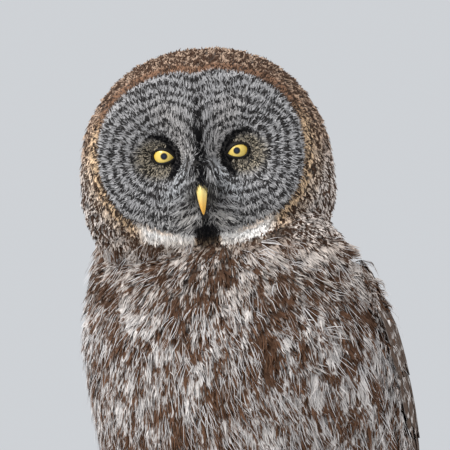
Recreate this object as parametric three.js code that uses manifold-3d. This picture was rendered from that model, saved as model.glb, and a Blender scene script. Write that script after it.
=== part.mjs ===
// A great grey owl at life size, perched upright on a cut length of branch that a plain stand holds.
// Millimetres, +Z up. The owl's body faces -Y and its left side is +X. Its head is turned to its left.
// The owl is built in its own frame, whose origin is on top of the perch between the feet.
import * as THREE from "three";
import { mergeVertices } from "three/addons/utils/BufferGeometryUtils.js";
import Module from "manifold-3d";

const wasm = await Module();
wasm.setup();
const { Manifold, Mesh: SolidMesh } = wasm;

// Gap that two touching pieces keep
const GAP = 0.3;

// Where the body is parted: heights of the planes under the head and under the neck
const NECK_TOP = 302;
const NECK_SLOPE = 0.055; // the head's plane is lower at the breast
const NECK_BOTTOM = 284;

// The body with its plumage at a height: [z, middle y, half width, depth to the breast, depth to the back]
const BODY = [
  [4, 78, 8, 8, 8],
  [9, 75, 38, 28, 26],
  [18, 70, 60, 44, 38],
  [34, 61, 84, 66, 52],
  [62, 49, 106, 89, 73],
  [100, 36, 124, 107, 88],
  [143, 22, 132, 112, 98],
  [200, 3, 133, 110, 99],
  [224, -5, 131, 107, 97],
  [254, -14, 124, 98, 92],
  [270, -18, 120, 91, 90],
  [286, -26, 115, 76, 87],
  [300, -33, 110, 62, 82],
  [318, -38, 97, 48, 72],
  [334, -42, 84, 40, 58],
  [350, -45, 50, 26, 36],
];

// The outer face of the folded wings, which run on below the body: [z, middle y, half width, depth to the back]
const WING_FACE = [
  [-146, 94, 38, 55],
  [-100, 83, 52, 61],
  [-60, 73, 66, 66],
  [-20, 64, 81, 70],
  [20, 56, 97, 75],
  [62, 49, 112, 80],
  [100, 36, 126, 90],
  [143, 22, 134, 99],
  [200, 3, 135, 100],
  [254, -14, 128, 94],
  [286, -26, 116, 89],
];

// Angles round the body, from the breast, of a wing's front edge and inner edge: [z, front, inner]
const WING_EDGES = [
  [-146, 152, 177],
  [-60, 131, 177],
  [0, 114, 177],
  [60, 103, 175],
  [140, 98, 169],
  [220, 97, 160],
  [290, 103, 148],
];

// How deep the folded wing lies in the plumage of the flank, at the shoulder and at the bundle of quills
const WING_BED = { shoulder: 12, quills: 16 };
const WING_CORE_DEPTH = 9; // from the outer feathers down to the arm
const SHOULDER_LIFT = -1.5;

// The head, from the rim of the face disc back:
// [step, forward, middle height, half width, height above the middle, height below it]
const HEAD = [
  [0, 58, 15, 78.5, 63.5, 64],
  [1, 52, 12, 85, 71, 68],
  [2, 40, 5, 92, 83, 72],
  [3, 22, -4, 98, 98, 76],
  [4, 0, -12, 100, 110, 78],
  [5, -28, -13, 95, 107, 76],
  [6, -52, -12, 81, 92, 66],
  [7, -70, -10, 58, 64, 48],
  [8, -81, -8, 27, 30, 24],
  [8.6, -83.5, -7, 4, 4, 4],
];
const HEAD_CENTRE = new THREE.Vector3(0, -48, 352);
const HEAD_TURN = THREE.MathUtils.degToRad(31); // to its left
const HEAD_TILT = THREE.MathUtils.degToRad(4.5); // its left side higher
const HEAD_SEGMENTS = 36;
const OUTLINE_POWER = 2.25; // of the head's outline: 2 is an ellipse, more is squarer
const FACE_DOME = 9;

const EYE_RADIUS = 12;
const EYE_PLACE = { out: 27.9, forward: 46.5, up: 14.5 };
const LID_RADIUS = 14;

// Each half of the bill follows a curve from inside the face out over its bend to its tip: [forward, up]
const BILL = {
  upper: { root: [57, -6], bend: [84, -8], tip: [73.5, -32.5], halfWidth: 5, halfDepth: 5.6, rows: 9 },
  lower: { root: [56, -15], bend: [69, -15.5], tip: [69.5, -26.5], halfWidth: 4, halfDepth: 2.4, rows: 6 },
};

const TAIL_ROOT = { y: 99, z: 52 };
const TAIL_TIP = { y: 148, z: -215 };
const TAIL_LENGTH = Math.hypot(TAIL_TIP.y - TAIL_ROOT.y, TAIL_TIP.z - TAIL_ROOT.z);
const TAIL_PAIRS = 6;
const TAIL_PITCH = { root: 3.2, tip: 8.3 }; // from one feather to the next across the fan
const TAIL_ARCH = 0.023; // how the fan droops towards its sides

const FOOT_OUT = 40; // from the middle to each foot
const ANKLE = 15; // height at which the leg ends and the foot begins

const PERCH = { radius: 22, length: 250, segments: 14, steps: 8 };
const BASE = { width: 250, depth: 260, thickness: 16, corner: 24, bevel: 2 };
const ROD = { radius: 5, out: 92 };
const TAIL_CLEARANCE = 8;
const PERCH_TOP = BASE.thickness + TAIL_CLEARANCE - TAIL_TIP.z;
const OWL_FORWARD = 26; // the perch stands this far in front of the base's middle

const { clamp, lerp, smoothstep, degToRad } = THREE.MathUtils;
const { sin, cos, PI } = Math;

// A small seeded generator, so that each build draws the same numbers
function seeded(seed) {
  let state = seed;
  return () => {
    state = (state + 0x6d2b79f5) | 0;
    let t = Math.imul(state ^ (state >>> 15), 1 | state);
    t = (t + Math.imul(t ^ (t >>> 7), 61 | t)) ^ t;
    return ((t ^ (t >>> 14)) >>> 0) / 4294967296;
  };
}

// Reads a table of stations, sorted by its first column, on a smooth curve through its rows
function stationAt(table, key) {
  const x = clamp(key, table[0][0], table[table.length - 1][0]);
  const last = table.length - 2;
  let i = 0;
  while (i < last && x > table[i + 1][0]) i++;
  const slope = (row, column) => {
    const a = table[Math.max(row - 1, 0)];
    const b = table[Math.min(row + 1, last + 1)];
    return (b[column] - a[column]) / (b[0] - a[0]);
  };
  const h = table[i + 1][0] - table[i][0];
  const t = (x - table[i][0]) / h;
  const basis = [
    (1 + 2 * t) * (1 - t) ** 2,
    t * (1 - t) ** 2,
    t * t * (3 - 2 * t),
    t * t * (t - 1),
  ];
  return table[i].slice(1).map((value, n) => {
    const column = n + 1;
    return (
      basis[0] * value +
      basis[1] * h * slope(i, column) +
      basis[2] * table[i + 1][column] +
      basis[3] * h * slope(i + 1, column)
    );
  });
}

function geometryFrom(points, index) {
  const geometry = new THREE.BufferGeometry().setFromPoints(points);
  geometry.setIndex(index);
  return geometry;
}

function solidFrom(geometry) {
  const bare = new THREE.BufferGeometry();
  bare.setAttribute("position", geometry.getAttribute("position"));
  bare.setIndex(geometry.index);
  const merged = mergeVertices(bare, 1e-4);
  const triVerts = new Uint32Array(merged.index.array);
  const vertProperties = new Float32Array(merged.attributes.position.array);
  const made = new Manifold(new SolidMesh({ numProp: 3, vertProperties, triVerts }));
  if (made.volume() > 0) return made;
  for (let i = 0; i < triVerts.length; i += 3)
    [triVerts[i + 1], triVerts[i + 2]] = [triVerts[i + 2], triVerts[i + 1]];
  return new Manifold(new SolidMesh({ numProp: 3, vertProperties, triVerts }));
}

// The largest closed surface of a solid: a sealed hollow is filled and a loose scrap is dropped
function largest(solid) {
  const parts = solid.decompose();
  return parts.reduce((a, b) => (b.volume() > a.volume() ? b : a));
}

function geometryOf(solid) {
  const { vertProperties, triVerts } = solid.getMesh();
  const geometry = new THREE.BufferGeometry();
  geometry.setAttribute("position", new THREE.BufferAttribute(vertProperties, 3));
  geometry.setIndex(new THREE.BufferAttribute(triVerts, 1));
  geometry.computeVertexNormals();
  return geometry;
}

// A closed skin over rings of equal count, with a point or a flat face at each end
function loft(rings, startPoint, endPoint) {
  const count = rings[0].length;
  const points = rings.flat();
  const index = [];
  for (let r = 0; r + 1 < rings.length; r++)
    for (let k = 0; k < count; k++) {
      const a = r * count + k;
      const b = r * count + ((k + 1) % count);
      index.push(a, b, b + count, a, b + count, a + count);
    }
  const close = (first, point, turned) => {
    const pole = points.length;
    points.push(point);
    for (let k = 0; k < count; k++) {
      const pair = [first + k, first + ((k + 1) % count)];
      index.push(pole, pair[turned ? 1 : 0], pair[turned ? 0 : 1]);
    }
  };
  const middle = (ring) =>
    ring.reduce((sum, p) => sum.add(p), new THREE.Vector3()).divideScalar(count);
  close(0, startPoint ?? middle(rings[0]), true);
  close((rings.length - 1) * count, endPoint ?? middle(rings[rings.length - 1]), false);
  return geometryFrom(points, index);
}

// A tube of oval rings: each station is {at, across, up, halfWidth, halfDepth}
function tube(stations, segments) {
  const rings = stations.map(({ at, across, up, halfWidth, halfDepth }) =>
    Array.from({ length: segments }, (_, k) => {
      const angle = (2 * PI * k) / segments;
      return at
        .clone()
        .addScaledVector(across, halfWidth * cos(angle))
        .addScaledVector(up, halfDepth * sin(angle));
    }),
  );
  return loft(rings);
}

// A thin vane: each station holds the points across it and the direction of its thickness.
// Its upper and lower faces are split into triangles alike, so that they never cross.
function vane(stations) {
  const columns = stations[0].points.length;
  const points = [];
  for (const side of [0.5, -0.5])
    for (const { points: row, up, thickness } of stations)
      for (const p of row) points.push(p.clone().addScaledVector(up, side * thickness));
  const lower = stations.length * columns;
  const index = [];
  const quad = (a, b, c, d) => index.push(a, b, c, a, c, d);
  for (let i = 0; i + 1 < stations.length; i++) {
    for (let j = 0; j + 1 < columns; j++) {
      const [a, b, c, d] = [
        i * columns + j,
        i * columns + j + 1,
        (i + 1) * columns + j + 1,
        (i + 1) * columns + j,
      ];
      index.push(a, b, c, a, c, d);
      index.push(lower + a, lower + c, lower + b, lower + a, lower + d, lower + c);
    }
    const left = i * columns;
    const right = left + columns - 1;
    quad(left, left + columns, lower + left + columns, lower + left);
    quad(right + columns, right, lower + right, lower + right + columns);
  }
  const end = (stations.length - 1) * columns;
  for (let j = 0; j + 1 < columns; j++) {
    quad(j + 1, j, lower + j, lower + j + 1);
    quad(end + j, end + j + 1, lower + end + j + 1, lower + end + j);
  }
  return geometryFrom(points, index);
}

// A feather's half width along its length, as a share of its widest: narrow root, full middle, round tip
function featherShape(t) {
  return (0.5 + 0.5 * smoothstep(t, 0, 0.35)) * (t < 0.78 ? 1 : Math.sqrt(1 - ((t - 0.78) / 0.235) ** 2));
}

// Moves the rows of a vane closer together towards its tip, where it is round
const closerToTip = (t) => 1 - (1 - t) ** 1.7;

// A point on the body's plumage at a height and an angle from the breast, moved outward by lift
function bodyPoint(z, angle, lift) {
  const [middle, width, front, back] = stationAt(BODY, z);
  const depth = cos(angle) > 0 ? front : back;
  return new THREE.Vector3(
    (width + lift) * sin(angle),
    middle - (depth + lift) * cos(angle),
    z,
  );
}

// The wing's front and inner edge at a height, as angles from the breast
function wingEdges(z) {
  return stationAt(WING_EDGES, z).map(degToRad);
}

// How deep the body is hollowed where a folded wing lies against it
function wingBed(z, angle) {
  const turn = Math.abs(Math.atan2(sin(angle), cos(angle)));
  const [front, inner] = wingEdges(z);
  const soft = degToRad(7);
  const across = smoothstep(turn, front - soft, front + soft) * (1 - smoothstep(turn, inner - soft, inner));
  const depth = lerp(WING_BED.quills, WING_BED.shoulder, smoothstep(z, 120, 200));
  return depth * across * smoothstep(z, 10, 60) * (1 - smoothstep(z, 278, 296));
}

// The body from the vent to inside the head, with its surface moved outward by lift
function bodySolid(lift) {
  const ringCount = 20;
  const segments = 32;
  const bottom = BODY[0][0] - lift;
  const top = BODY[BODY.length - 1][0];
  const rings = Array.from({ length: ringCount }, (_, r) => {
    const z = lerp(bottom, top, ((r + 1) / ringCount) ** 1.1);
    return Array.from({ length: segments }, (_, k) => {
      const angle = (2 * PI * k) / segments;
      return bodyPoint(z, angle, lift - wingBed(z, angle));
    });
  });
  const start = new THREE.Vector3(0, stationAt(BODY, BODY[0][0])[0], bottom);
  return solidFrom(loft(rings, start));
}

const headMatrix = new THREE.Matrix4()
  .makeTranslation(HEAD_CENTRE)
  .multiply(new THREE.Matrix4().makeRotationZ(HEAD_TURN))
  .multiply(new THREE.Matrix4().makeRotationY(-HEAD_TILT));

// A point in the head's own frame: out to its left, forward out of the face, and up
const inHead = (out, forward, up) => new THREE.Vector3(out, -forward, up);

const headSolid = (geometry) => solidFrom(geometry.applyMatrix4(headMatrix));

function outlinePoint(angle) {
  const power = 2 / OUTLINE_POWER;
  const part = (v) => Math.sign(v) * Math.abs(v) ** power;
  return [part(cos(angle)), part(sin(angle))];
}

// A point on the head behind the face: step runs from the face's rim to the nape, angle from the left side up
function headPoint(step, angle, lift) {
  const [forward, middle, width, up, down] = stationAt(HEAD, step);
  const [across, rise] = outlinePoint(angle);
  const height = rise > 0 ? up : down;
  return inHead((width + lift) * across, forward, middle + (height + lift) * rise);
}

// How far forward the face lies: a low dome, with a dish round each eye and a ridge down to the bill
function faceForward(out, up, share) {
  const eye = Math.hypot(Math.abs(out) - EYE_PLACE.out, up - EYE_PLACE.up);
  const dish = -8 * Math.exp(-((eye / 24) ** 2));
  const ridge = 6 * Math.exp(-((out / 9) ** 2)) * smoothstep(up, -28, -4) * (1 - smoothstep(up, 35, 62));
  const muzzle = 4 * Math.exp(-((out / 16) ** 2) - ((up + 14) / 14) ** 2);
  const inside = 1 - share ** 6;
  return HEAD[0][1] + (FACE_DOME * (1 - share ** 2) + dish + ridge + muzzle) * inside;
}

function facePoint(share, angle) {
  const [, , middle, width, up, down] = HEAD[0];
  const [across, rise] = outlinePoint(angle);
  const out = width * across * share;
  const height = (rise > 0 ? up : down) * rise * share;
  return inHead(out, faceForward(out, middle + height, share), middle + height);
}

function skullSolid(lift) {
  const steps = 12;
  const faceRings = 7;
  const ring = (point) =>
    Array.from({ length: HEAD_SEGMENTS }, (_, k) => point((2 * PI * k) / HEAD_SEGMENTS));
  const rings = [];
  for (let s = steps; s >= 0; s--)
    rings.push(ring((angle) => headPoint((s / steps) * HEAD[HEAD.length - 1][0], angle, lift)));
  for (let f = 1; f < faceRings; f++)
    rings.push(ring((angle) => facePoint(1 - f / faceRings, angle)));
  const nape = inHead(0, HEAD[HEAD.length - 1][1] - lift, HEAD[HEAD.length - 1][2]);
  const middle = facePoint(0, 0);
  return headSolid(loft(rings, nape, middle));
}

const eyeCentre = (side) => inHead(side * EYE_PLACE.out, EYE_PLACE.forward, EYE_PLACE.up);

function eyeBall(side, radius, columns, rows) {
  const ball = new THREE.SphereGeometry(radius, columns, rows).rotateX(PI / 2);
  return headSolid(ball.translate(...eyeCentre(side)));
}

// The opening between the lids: a round outer end and a point towards the bill
function lidOpening(side) {
  const shape = new THREE.Shape();
  shape.moveTo(-7.7, -1.65);
  shape.quadraticCurveTo(-3.5, 4.6, 2.6, 4.8);
  shape.quadraticCurveTo(7.6, 5, 8.25, 1.2);
  shape.quadraticCurveTo(8.2, -4.6, 2.6, -4.95);
  shape.quadraticCurveTo(-3.6, -5, -7.7, -1.65);
  const opening = new THREE.ExtrudeGeometry(shape, { depth: 30, bevelEnabled: false, curveSegments: 4 });
  opening.rotateX(PI / 2);
  if (side < 0) opening.scale(-1, 1, 1);
  return headSolid(opening.translate(...eyeCentre(side)));
}

// The hooked upper bill and the shorter lower one behind it, grown by lift
function billSolid(which, lift) {
  const { root, bend, tip, halfWidth, halfDepth, rows } = BILL[which];
  const curve = new THREE.QuadraticBezierCurve3(inHead(0, ...root), inHead(0, ...bend), inHead(0, ...tip));
  const out = new THREE.Vector3(1, 0, 0);
  const stations = Array.from({ length: rows }, (_, i) => {
    const t = i / (rows - 1);
    const taper = (1 - t ** 2.6) ** 0.7;
    return {
      at: curve.getPoint(t),
      across: out,
      up: curve.getTangent(t).cross(out).normalize(),
      halfWidth: lift + Math.max(0.35, halfWidth * taper),
      halfDepth: lift + Math.max(0.35, halfDepth * taper),
    };
  });
  return headSolid(tube(stations, 10));
}

// A short plume laid on the head from one step to another. Its root is sunk in, its tip is a little proud,
// and one edge is raised so that it overlaps its neighbour.
function headPlume({ from, to, angle, halfAngle, proud }) {
  const rows = 3;
  const stations = Array.from({ length: rows }, (_, i) => {
    const t = i / (rows - 1);
    const step = lerp(from, to, t);
    const lift = lerp(-1.6, proud, t);
    const half = halfAngle * featherShape(lerp(0.25, 0.96, t));
    const points = [-1, 1].map((side) => headPoint(step, angle + side * half, lift + 0.9 * side));
    const middle = points[0].clone().lerp(points[1], 0.5);
    const ahead = headPoint(step + 0.05, angle, lift).sub(middle);
    const up = points[1].clone().sub(points[0]).cross(ahead).normalize();
    return { points, up, thickness: lerp(1.3, 0.7, t) };
  });
  return headSolid(vane(stations));
}

// The ruff of stiff short feathers that rims the face disc
function ruffPlumes() {
  const random = seeded(11);
  const count = 25;
  return Array.from({ length: count }, (_, k) =>
    headPlume({
      from: 0.02,
      to: 1.5 + 0.4 * random(),
      angle: (2 * PI * (k + 0.5)) / count + 0.03 * (random() - 0.5),
      halfAngle: (1.15 * PI) / count,
      proud: 1.6 + 0.8 * random(),
    }));
}

// The white whiskers each side of the chin and the dark bib between them, hanging over the breast
function chinPlumes() {
  const random = seeded(23);
  const count = 9;
  return Array.from({ length: count }, (_, k) => {
    const place = k - (count - 1) / 2;
    const out = place * 10.4;
    const root = inHead(out, 58 - 0.012 * out * out, -41 + 0.0045 * out * out);
    const long = 19 - 0.45 * Math.abs(place) + 3 * random();
    const lean = 0.06 * place;
    const rows = 3;
    const stations = Array.from({ length: rows }, (_, i) => {
      const t = i / (rows - 1);
      const at = root.clone().add(inHead(lean * long * t, 4.5 * sin(t * 2), -long * t));
      const half = 7 * featherShape(lerp(0.2, 0.96, t));
      const points = [-1, 1].map((side) => at.clone().add(inHead(side * half, 0.8 * side, 0)));
      return { points, up: inHead(0, 1, 0.3).normalize(), thickness: lerp(2.2, 0.8, t) };
    });
    return headSolid(vane(stations));
  });
}

// A point on the folded wing's outer face: share runs from its front edge to its inner edge
function wingPoint(z, share, lift) {
  const [middle, width, depth] = stationAt(WING_FACE, z);
  const [front, inner] = wingEdges(z);
  const limit = PI - Math.asin(clamp(2.2 / width, 0, 1));
  const angle = Math.min(lerp(front, inner, share), limit);
  return new THREE.Vector3((width + lift) * sin(angle), middle - (depth + lift) * cos(angle), z);
}

function wingNormal(z, share) {
  const at = wingPoint(z, share, 0);
  const down = wingPoint(z - 2, share, 0).sub(at);
  const across = wingPoint(z, Math.min(share, 0.9) + 0.03, 0).sub(wingPoint(z, Math.min(share, 0.9), 0));
  return across.cross(down).normalize();
}

// One feather of the wing, from root to tip over the wing's face. It rises along its length, so that its tip
// lies over the roots of the tier below, and across its width, so that it overlaps the feather in front of it.
function wingVane({ root, tip, halfWidth, rise, tilt, thickness, rows, columns }) {
  const stations = Array.from({ length: rows }, (_, i) => {
    const t = closerToTip(i / (rows - 1));
    const z = lerp(root.z, tip.z, t);
    const share = lerp(root.share, tip.share, t);
    const lift = lerp(root.lift, tip.lift, smoothstep(t, 0, rise));
    const step = 0.02;
    const perShare = wingPoint(z, share, 0).distanceTo(wingPoint(z, share - step, 0)) / step;
    const half = (halfWidth * featherShape(lerp(0.1, 0.985, t))) / Math.max(perShare, 14);
    const sides = columns === 3 ? [-1, 0, 1] : [-1, 1];
    const points = sides.map((side) => wingPoint(z, share + side * half, lift - tilt * side));
    return { points, up: wingNormal(z, share), thickness: lerp(thickness, 0.6, t) };
  });
  return vane(stations);
}

// The folded arm under its small feathers: full over the shoulder, and thin over the roots of the quills
function wingCore() {
  const rows = 7;
  const columns = 4;
  const faces = [[], []];
  for (let i = 0; i <= rows; i++)
    for (let j = 0; j <= columns; j++) {
      const v = i / rows;
      const u = j / columns;
      const z = lerp(288, 96, v);
      const round = Math.min(1, 4 * Math.min(u, 1 - u), 5 * v) ** 0.5;
      const top = lerp(-WING_CORE_DEPTH, SHOULDER_LIFT, smoothstep(z, 180, 236));
      faces[0].push(wingPoint(z, u, top - 4 * (1 - round)));
      faces[1].push(wingPoint(z, u, -WING_CORE_DEPTH - 11));
    }
  const points = faces.flat();
  const width = columns + 1;
  const lower = (rows + 1) * width;
  const index = [];
  const quad = (a, b, c, d) => index.push(a, b, c, a, c, d);
  for (let i = 0; i < rows; i++)
    for (let j = 0; j < columns; j++) {
      const a = i * width + j;
      quad(a, a + 1, a + width + 1, a + width);
      quad(lower + a, lower + a + width, lower + a + width + 1, lower + a + 1);
    }
  for (let i = 0; i < rows; i++) {
    const a = i * width;
    const b = a + columns;
    quad(a, a + width, lower + a + width, lower + a);
    quad(b + width, b, lower + b, lower + b + width);
  }
  for (let j = 0; j < columns; j++) {
    const b = rows * width + j;
    quad(j + 1, j, lower + j, lower + j + 1);
    quad(b, b + 1, lower + b + 1, lower + b);
  }
  return geometryFrom(points, index);
}

// The tiers of a folded wing, from the longest quills out to the scapulars that lie over them.
// Each tier is a row of feathers, and k runs from 0 at the wing's front edge to 1 at its inner edge.
const ROOT_LIFT = -10.5;
const WING_TIERS = [
  { name: "primaries", count: 6, halfWidth: 12, rise: 1, tilt: 0.5, thickness: 0.9, rows: 5, columns: 3,
    root: (k) => ({ z: 116, share: 0.12 + 0.3 * k, lift: -15 + 5.5 * k }),
    tip: (k) => ({ z: -143 + 100 * k, share: 0.3 + 0.36 * k, lift: -9 + 5.5 * k }) },
  { name: "secondaries", count: 7, halfWidth: 16.5, rise: 0.45, tilt: 1.9, thickness: 1, rows: 4, columns: 2,
    root: (k) => ({ z: 132 + 22 * k, share: 0.12 + 0.78 * k, lift: ROOT_LIFT }),
    tip: (k) => ({ z: -8 + 52 * k * k, share: 0.26 + 0.62 * k, lift: -5.6 }) },
  { name: "greater coverts", count: 6, halfWidth: 16.5, rise: 1, tilt: 1.6, thickness: 1, rows: 4, columns: 2,
    root: (k) => ({ z: 172 + 8 * k, share: 0.08 + 0.8 * k, lift: ROOT_LIFT }),
    tip: (k) => ({ z: 92 + 28 * k, share: 0.09 + 0.8 * k, lift: -2.6 }) },
  { name: "median coverts", count: 6, halfWidth: 16.5, rise: 1, tilt: 1.5, thickness: 1, rows: 3, columns: 2,
    root: (k) => ({ z: 216 + 6 * k, share: 0.07 + 0.8 * k, lift: ROOT_LIFT + 3 }),
    tip: (k) => ({ z: 146 + 18 * k, share: 0.06 + 0.8 * k, lift: -1.4 }) },
  { name: "scapulars", count: 4, halfWidth: 15.5, rise: 1, tilt: 1, thickness: 1, rows: 4, columns: 2,
    root: (k) => ({ z: 268 - 14 * k, share: 0.92, lift: -7 }),
    tip: (k) => ({ z: 206 - 92 * k, share: 0.64 + 0.24 * k, lift: 1.8 }) },
];

function wingSolid(side, clear) {
  const random = seeded(side > 0 ? 5 : 7);
  const vary = (amount) => amount * (random() - 0.5);
  const pieces = [solidFrom(wingCore())];
  for (const tier of WING_TIERS)
    for (let n = 0; n < tier.count; n++) {
      const k = n / (tier.count - 1);
      const tip = tier.tip(k);
      tip.z += vary(5);
      tip.share += vary(0.012);
      pieces.push(solidFrom(wingVane({ ...tier, root: tier.root(k), tip })));
    }
  const wing = Manifold.union(pieces);
  const placed = side > 0 ? wing : wing.mirror([1, 0, 0]);
  return largest(placed.subtract(clear));
}

// One tail feather, grown by lift: pair 0 is the middle one and lies outermost on the back
function tailVane({ pair, side, length, halfWidth, layer, root, rows, columns, lift }) {
  const line = new THREE.Vector3(0, TAIL_TIP.y - TAIL_ROOT.y, TAIL_TIP.z - TAIL_ROOT.z).normalize();
  const back = new THREE.Vector3(0, -line.z, line.y);
  const stations = Array.from({ length: rows }, (_, i) => {
    const t = closerToTip(i / (rows - 1));
    const along = lerp(root, length, t);
    const out = side * (pair + 0.5) * lerp(TAIL_PITCH.root, TAIL_PITCH.tip, along / TAIL_LENGTH);
    const arch = 0.5 * TAIL_ARCH * out * out;
    const at = new THREE.Vector3(out, TAIL_ROOT.y, TAIL_ROOT.z)
      .addScaledVector(line, along)
      .addScaledVector(back, layer - arch);
    const lean = TAIL_ARCH * out;
    const across = new THREE.Vector3(1, 0, 0).addScaledVector(back, -lean).normalize();
    const up = back.clone().addScaledVector(new THREE.Vector3(1, 0, 0), lean).normalize();
    const half = lift + halfWidth * featherShape(lerp(0.15, 0.985, t));
    const sides = columns === 3 ? [-1, 0, 1] : [-1, 1];
    const points = sides.map((s) =>
      at.clone().addScaledVector(across, s * half).addScaledVector(up, s === 0 ? 0.6 : -0.3));
    return { points, up, thickness: 2 * lift + lerp(0.9, 0.6, t) };
  });
  return solidFrom(vane(stations));
}

// The fan of tail feathers on its fleshy stub, with coverts over and under it, grown by lift
function tailSolid(clear, lift) {
  const random = seeded(31);
  const pieces = [];
  for (let pair = 0; pair < TAIL_PAIRS; pair++)
    for (const side of [-1, 1])
      pieces.push(tailVane({
        pair, side, lift,
        length: TAIL_LENGTH - 1.1 * pair * pair - (pair ? 2 * random() : 0),
        halfWidth: 15.5,
        layer: 3 - 2.3 * pair - (side > 0 ? 0 : 1.15),
        root: 34, rows: 4, columns: 3,
      }));
  for (const [layer, reach] of [[6.5, 118], [-15.5, 132]])
    for (const side of [-1, 1])
      pieces.push(tailVane({
        pair: 1.2, side, lift,
        length: reach,
        halfWidth: 17,
        layer: layer + side * 0.6,
        root: 22, rows: 4, columns: 2,
      }));
  const stub = Array.from({ length: 6 }, (_, i) => {
    const t = i / 5;
    return {
      at: new THREE.Vector3(0, lerp(TAIL_ROOT.y - 8, TAIL_ROOT.y + 7, t), lerp(TAIL_ROOT.z + 4, -26, t)),
      across: new THREE.Vector3(1, 0, 0),
      up: new THREE.Vector3(0, 1, 0),
      halfWidth: lift + lerp(34, 24, t) * (1 - t ** 6) + 2,
      halfDepth: lift + lerp(22, 8, t) * (1 - t ** 6) + 1,
    };
  });
  pieces.push(solidFrom(tube(stub, 12)));
  return largest(Manifold.union(pieces).subtract(clear));
}

// The feathered leg, from inside the belly down to the ankle
function legSolid(side, clear) {
  const rows = 8;
  const stations = Array.from({ length: rows }, (_, i) => {
    const t = i / (rows - 1);
    return {
      at: new THREE.Vector3(side * lerp(46, FOOT_OUT, t), lerp(14, 1, t), lerp(86, 8, t)),
      across: new THREE.Vector3(1, 0, 0),
      up: new THREE.Vector3(0, 1, 0),
      halfWidth: lerp(31, 16, t ** 0.8),
      halfDepth: lerp(36, 17, t ** 0.8),
    };
  });
  const leg = solidFrom(tube(stations, 16)).trimByPlane([0, 0, 1], ANKLE + GAP);
  return largest(leg.subtract(clear));
}

const perchRadius = (x) => PERCH.radius * (1 + 0.035 * sin(x * 0.031 + 1) + 0.02 * sin(x * 0.083));

function perchSolid(lift) {
  const stations = Array.from({ length: PERCH.steps + 1 }, (_, i) => {
    const x = lerp(-0.5, 0.5, i / PERCH.steps) * PERCH.length;
    return {
      at: new THREE.Vector3(x, 0, -PERCH.radius),
      across: new THREE.Vector3(0, 1, 0),
      up: new THREE.Vector3(0, 0, 1),
      halfWidth: perchRadius(x) * 0.98 + lift,
      halfDepth: perchRadius(x) + lift,
    };
  });
  return solidFrom(tube(stations, PERCH.segments));
}

// A point that goes round the perch: angle 0 is its top, and forward is positive
const roundPerch = (x, angle, radius) =>
  new THREE.Vector3(x, -radius * sin(angle), -PERCH.radius + radius * cos(angle));

// Two toes go forward over the perch and two go back: out is across the foot, reach in degrees round the perch
const TOES = [
  { name: "inner_front", out: -9, forward: 1, reach: 66 },
  { name: "outer_front", out: 8, forward: 1, reach: 70 },
  { name: "inner_back", out: -8, forward: -1, reach: 58 },
  { name: "outer_back", out: 11, forward: -1, reach: 62 },
];
const TOE_RADIUS = 8.2;
const TOE_LIFT = 7.4; // of a toe's middle over the perch
const CLAW = { turn: 39, radius: 4.1, rootLift: 8.6, tipLift: 2.6 }; // turn is in degrees round the perch

function toeStations(side, toe) {
  const rows = 5;
  return Array.from({ length: rows }, (_, i) => {
    const t = i / (rows - 1);
    const angle = degToRad(toe.forward * lerp(4, toe.reach, t));
    const x = side * (FOOT_OUT + lerp(0.35, 1.25, t) * toe.out);
    const thick = TOE_RADIUS * (1.06 - 0.16 * t + 0.05 * sin(t * 12));
    return {
      at: roundPerch(x, angle, PERCH.radius + TOE_LIFT),
      across: new THREE.Vector3(1, 0, 0),
      up: roundPerch(0, angle, 1).sub(roundPerch(0, angle, 0)),
      halfWidth: thick * 0.94,
      halfDepth: thick,
    };
  });
}

function footSolid(side, clear) {
  const hub = new THREE.SphereGeometry(1, 10, 6).scale(17.5, 17.5, 13).translate(side * FOOT_OUT, 0, 7.5);
  const pieces = [solidFrom(hub), ...TOES.map((toe) => solidFrom(tube(toeStations(side, toe), 6)))];
  const foot = Manifold.union(pieces).trimByPlane([0, 0, -1], -ANKLE);
  return largest(foot.subtract(clear));
}

// A claw starts just past the end of its toe and bends in towards the perch
function clawSolid(side, toe) {
  const end = toeStations(side, toe).at(-1);
  const rows = 6;
  const start = toe.reach + THREE.MathUtils.radToDeg(1.25 * GAP / (PERCH.radius + TOE_LIFT));
  const stations = Array.from({ length: rows }, (_, i) => {
    const t = i / (rows - 1);
    const angle = degToRad(toe.forward * (start + CLAW.turn * t));
    const radius = PERCH.radius + lerp(CLAW.rootLift, CLAW.tipLift, t ** 1.5);
    const thick = lerp(CLAW.radius, 0.5, t ** 0.85);
    return {
      at: roundPerch(end.at.x, angle, radius),
      across: new THREE.Vector3(1, 0, 0),
      up: roundPerch(0, angle, 1).sub(roundPerch(0, angle, 0)),
      halfWidth: thick * 0.8,
      halfDepth: thick,
    };
  });
  return solidFrom(tube(stations, 6));
}

function baseSolid() {
  const { width, depth, thickness, corner, bevel } = BASE;
  const [w, d] = [width / 2 - bevel, depth / 2 - bevel];
  const shape = new THREE.Shape();
  shape.moveTo(-w + corner, -d);
  shape.lineTo(w - corner, -d);
  shape.absarc(w - corner, -d + corner, corner, -PI / 2, 0);
  shape.lineTo(w, d - corner);
  shape.absarc(w - corner, d - corner, corner, 0, PI / 2);
  shape.lineTo(-w + corner, d);
  shape.absarc(-w + corner, d - corner, corner, PI / 2, PI);
  shape.lineTo(-w, -d + corner);
  shape.absarc(-w + corner, -d + corner, corner, PI, 1.5 * PI);
  const plate = new THREE.ExtrudeGeometry(shape, {
    depth: thickness - 2 * bevel, bevelThickness: bevel, bevelSize: bevel, bevelSegments: 1, curveSegments: 4,
  });
  return solidFrom(plate.translate(0, 0, bevel));
}

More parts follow.
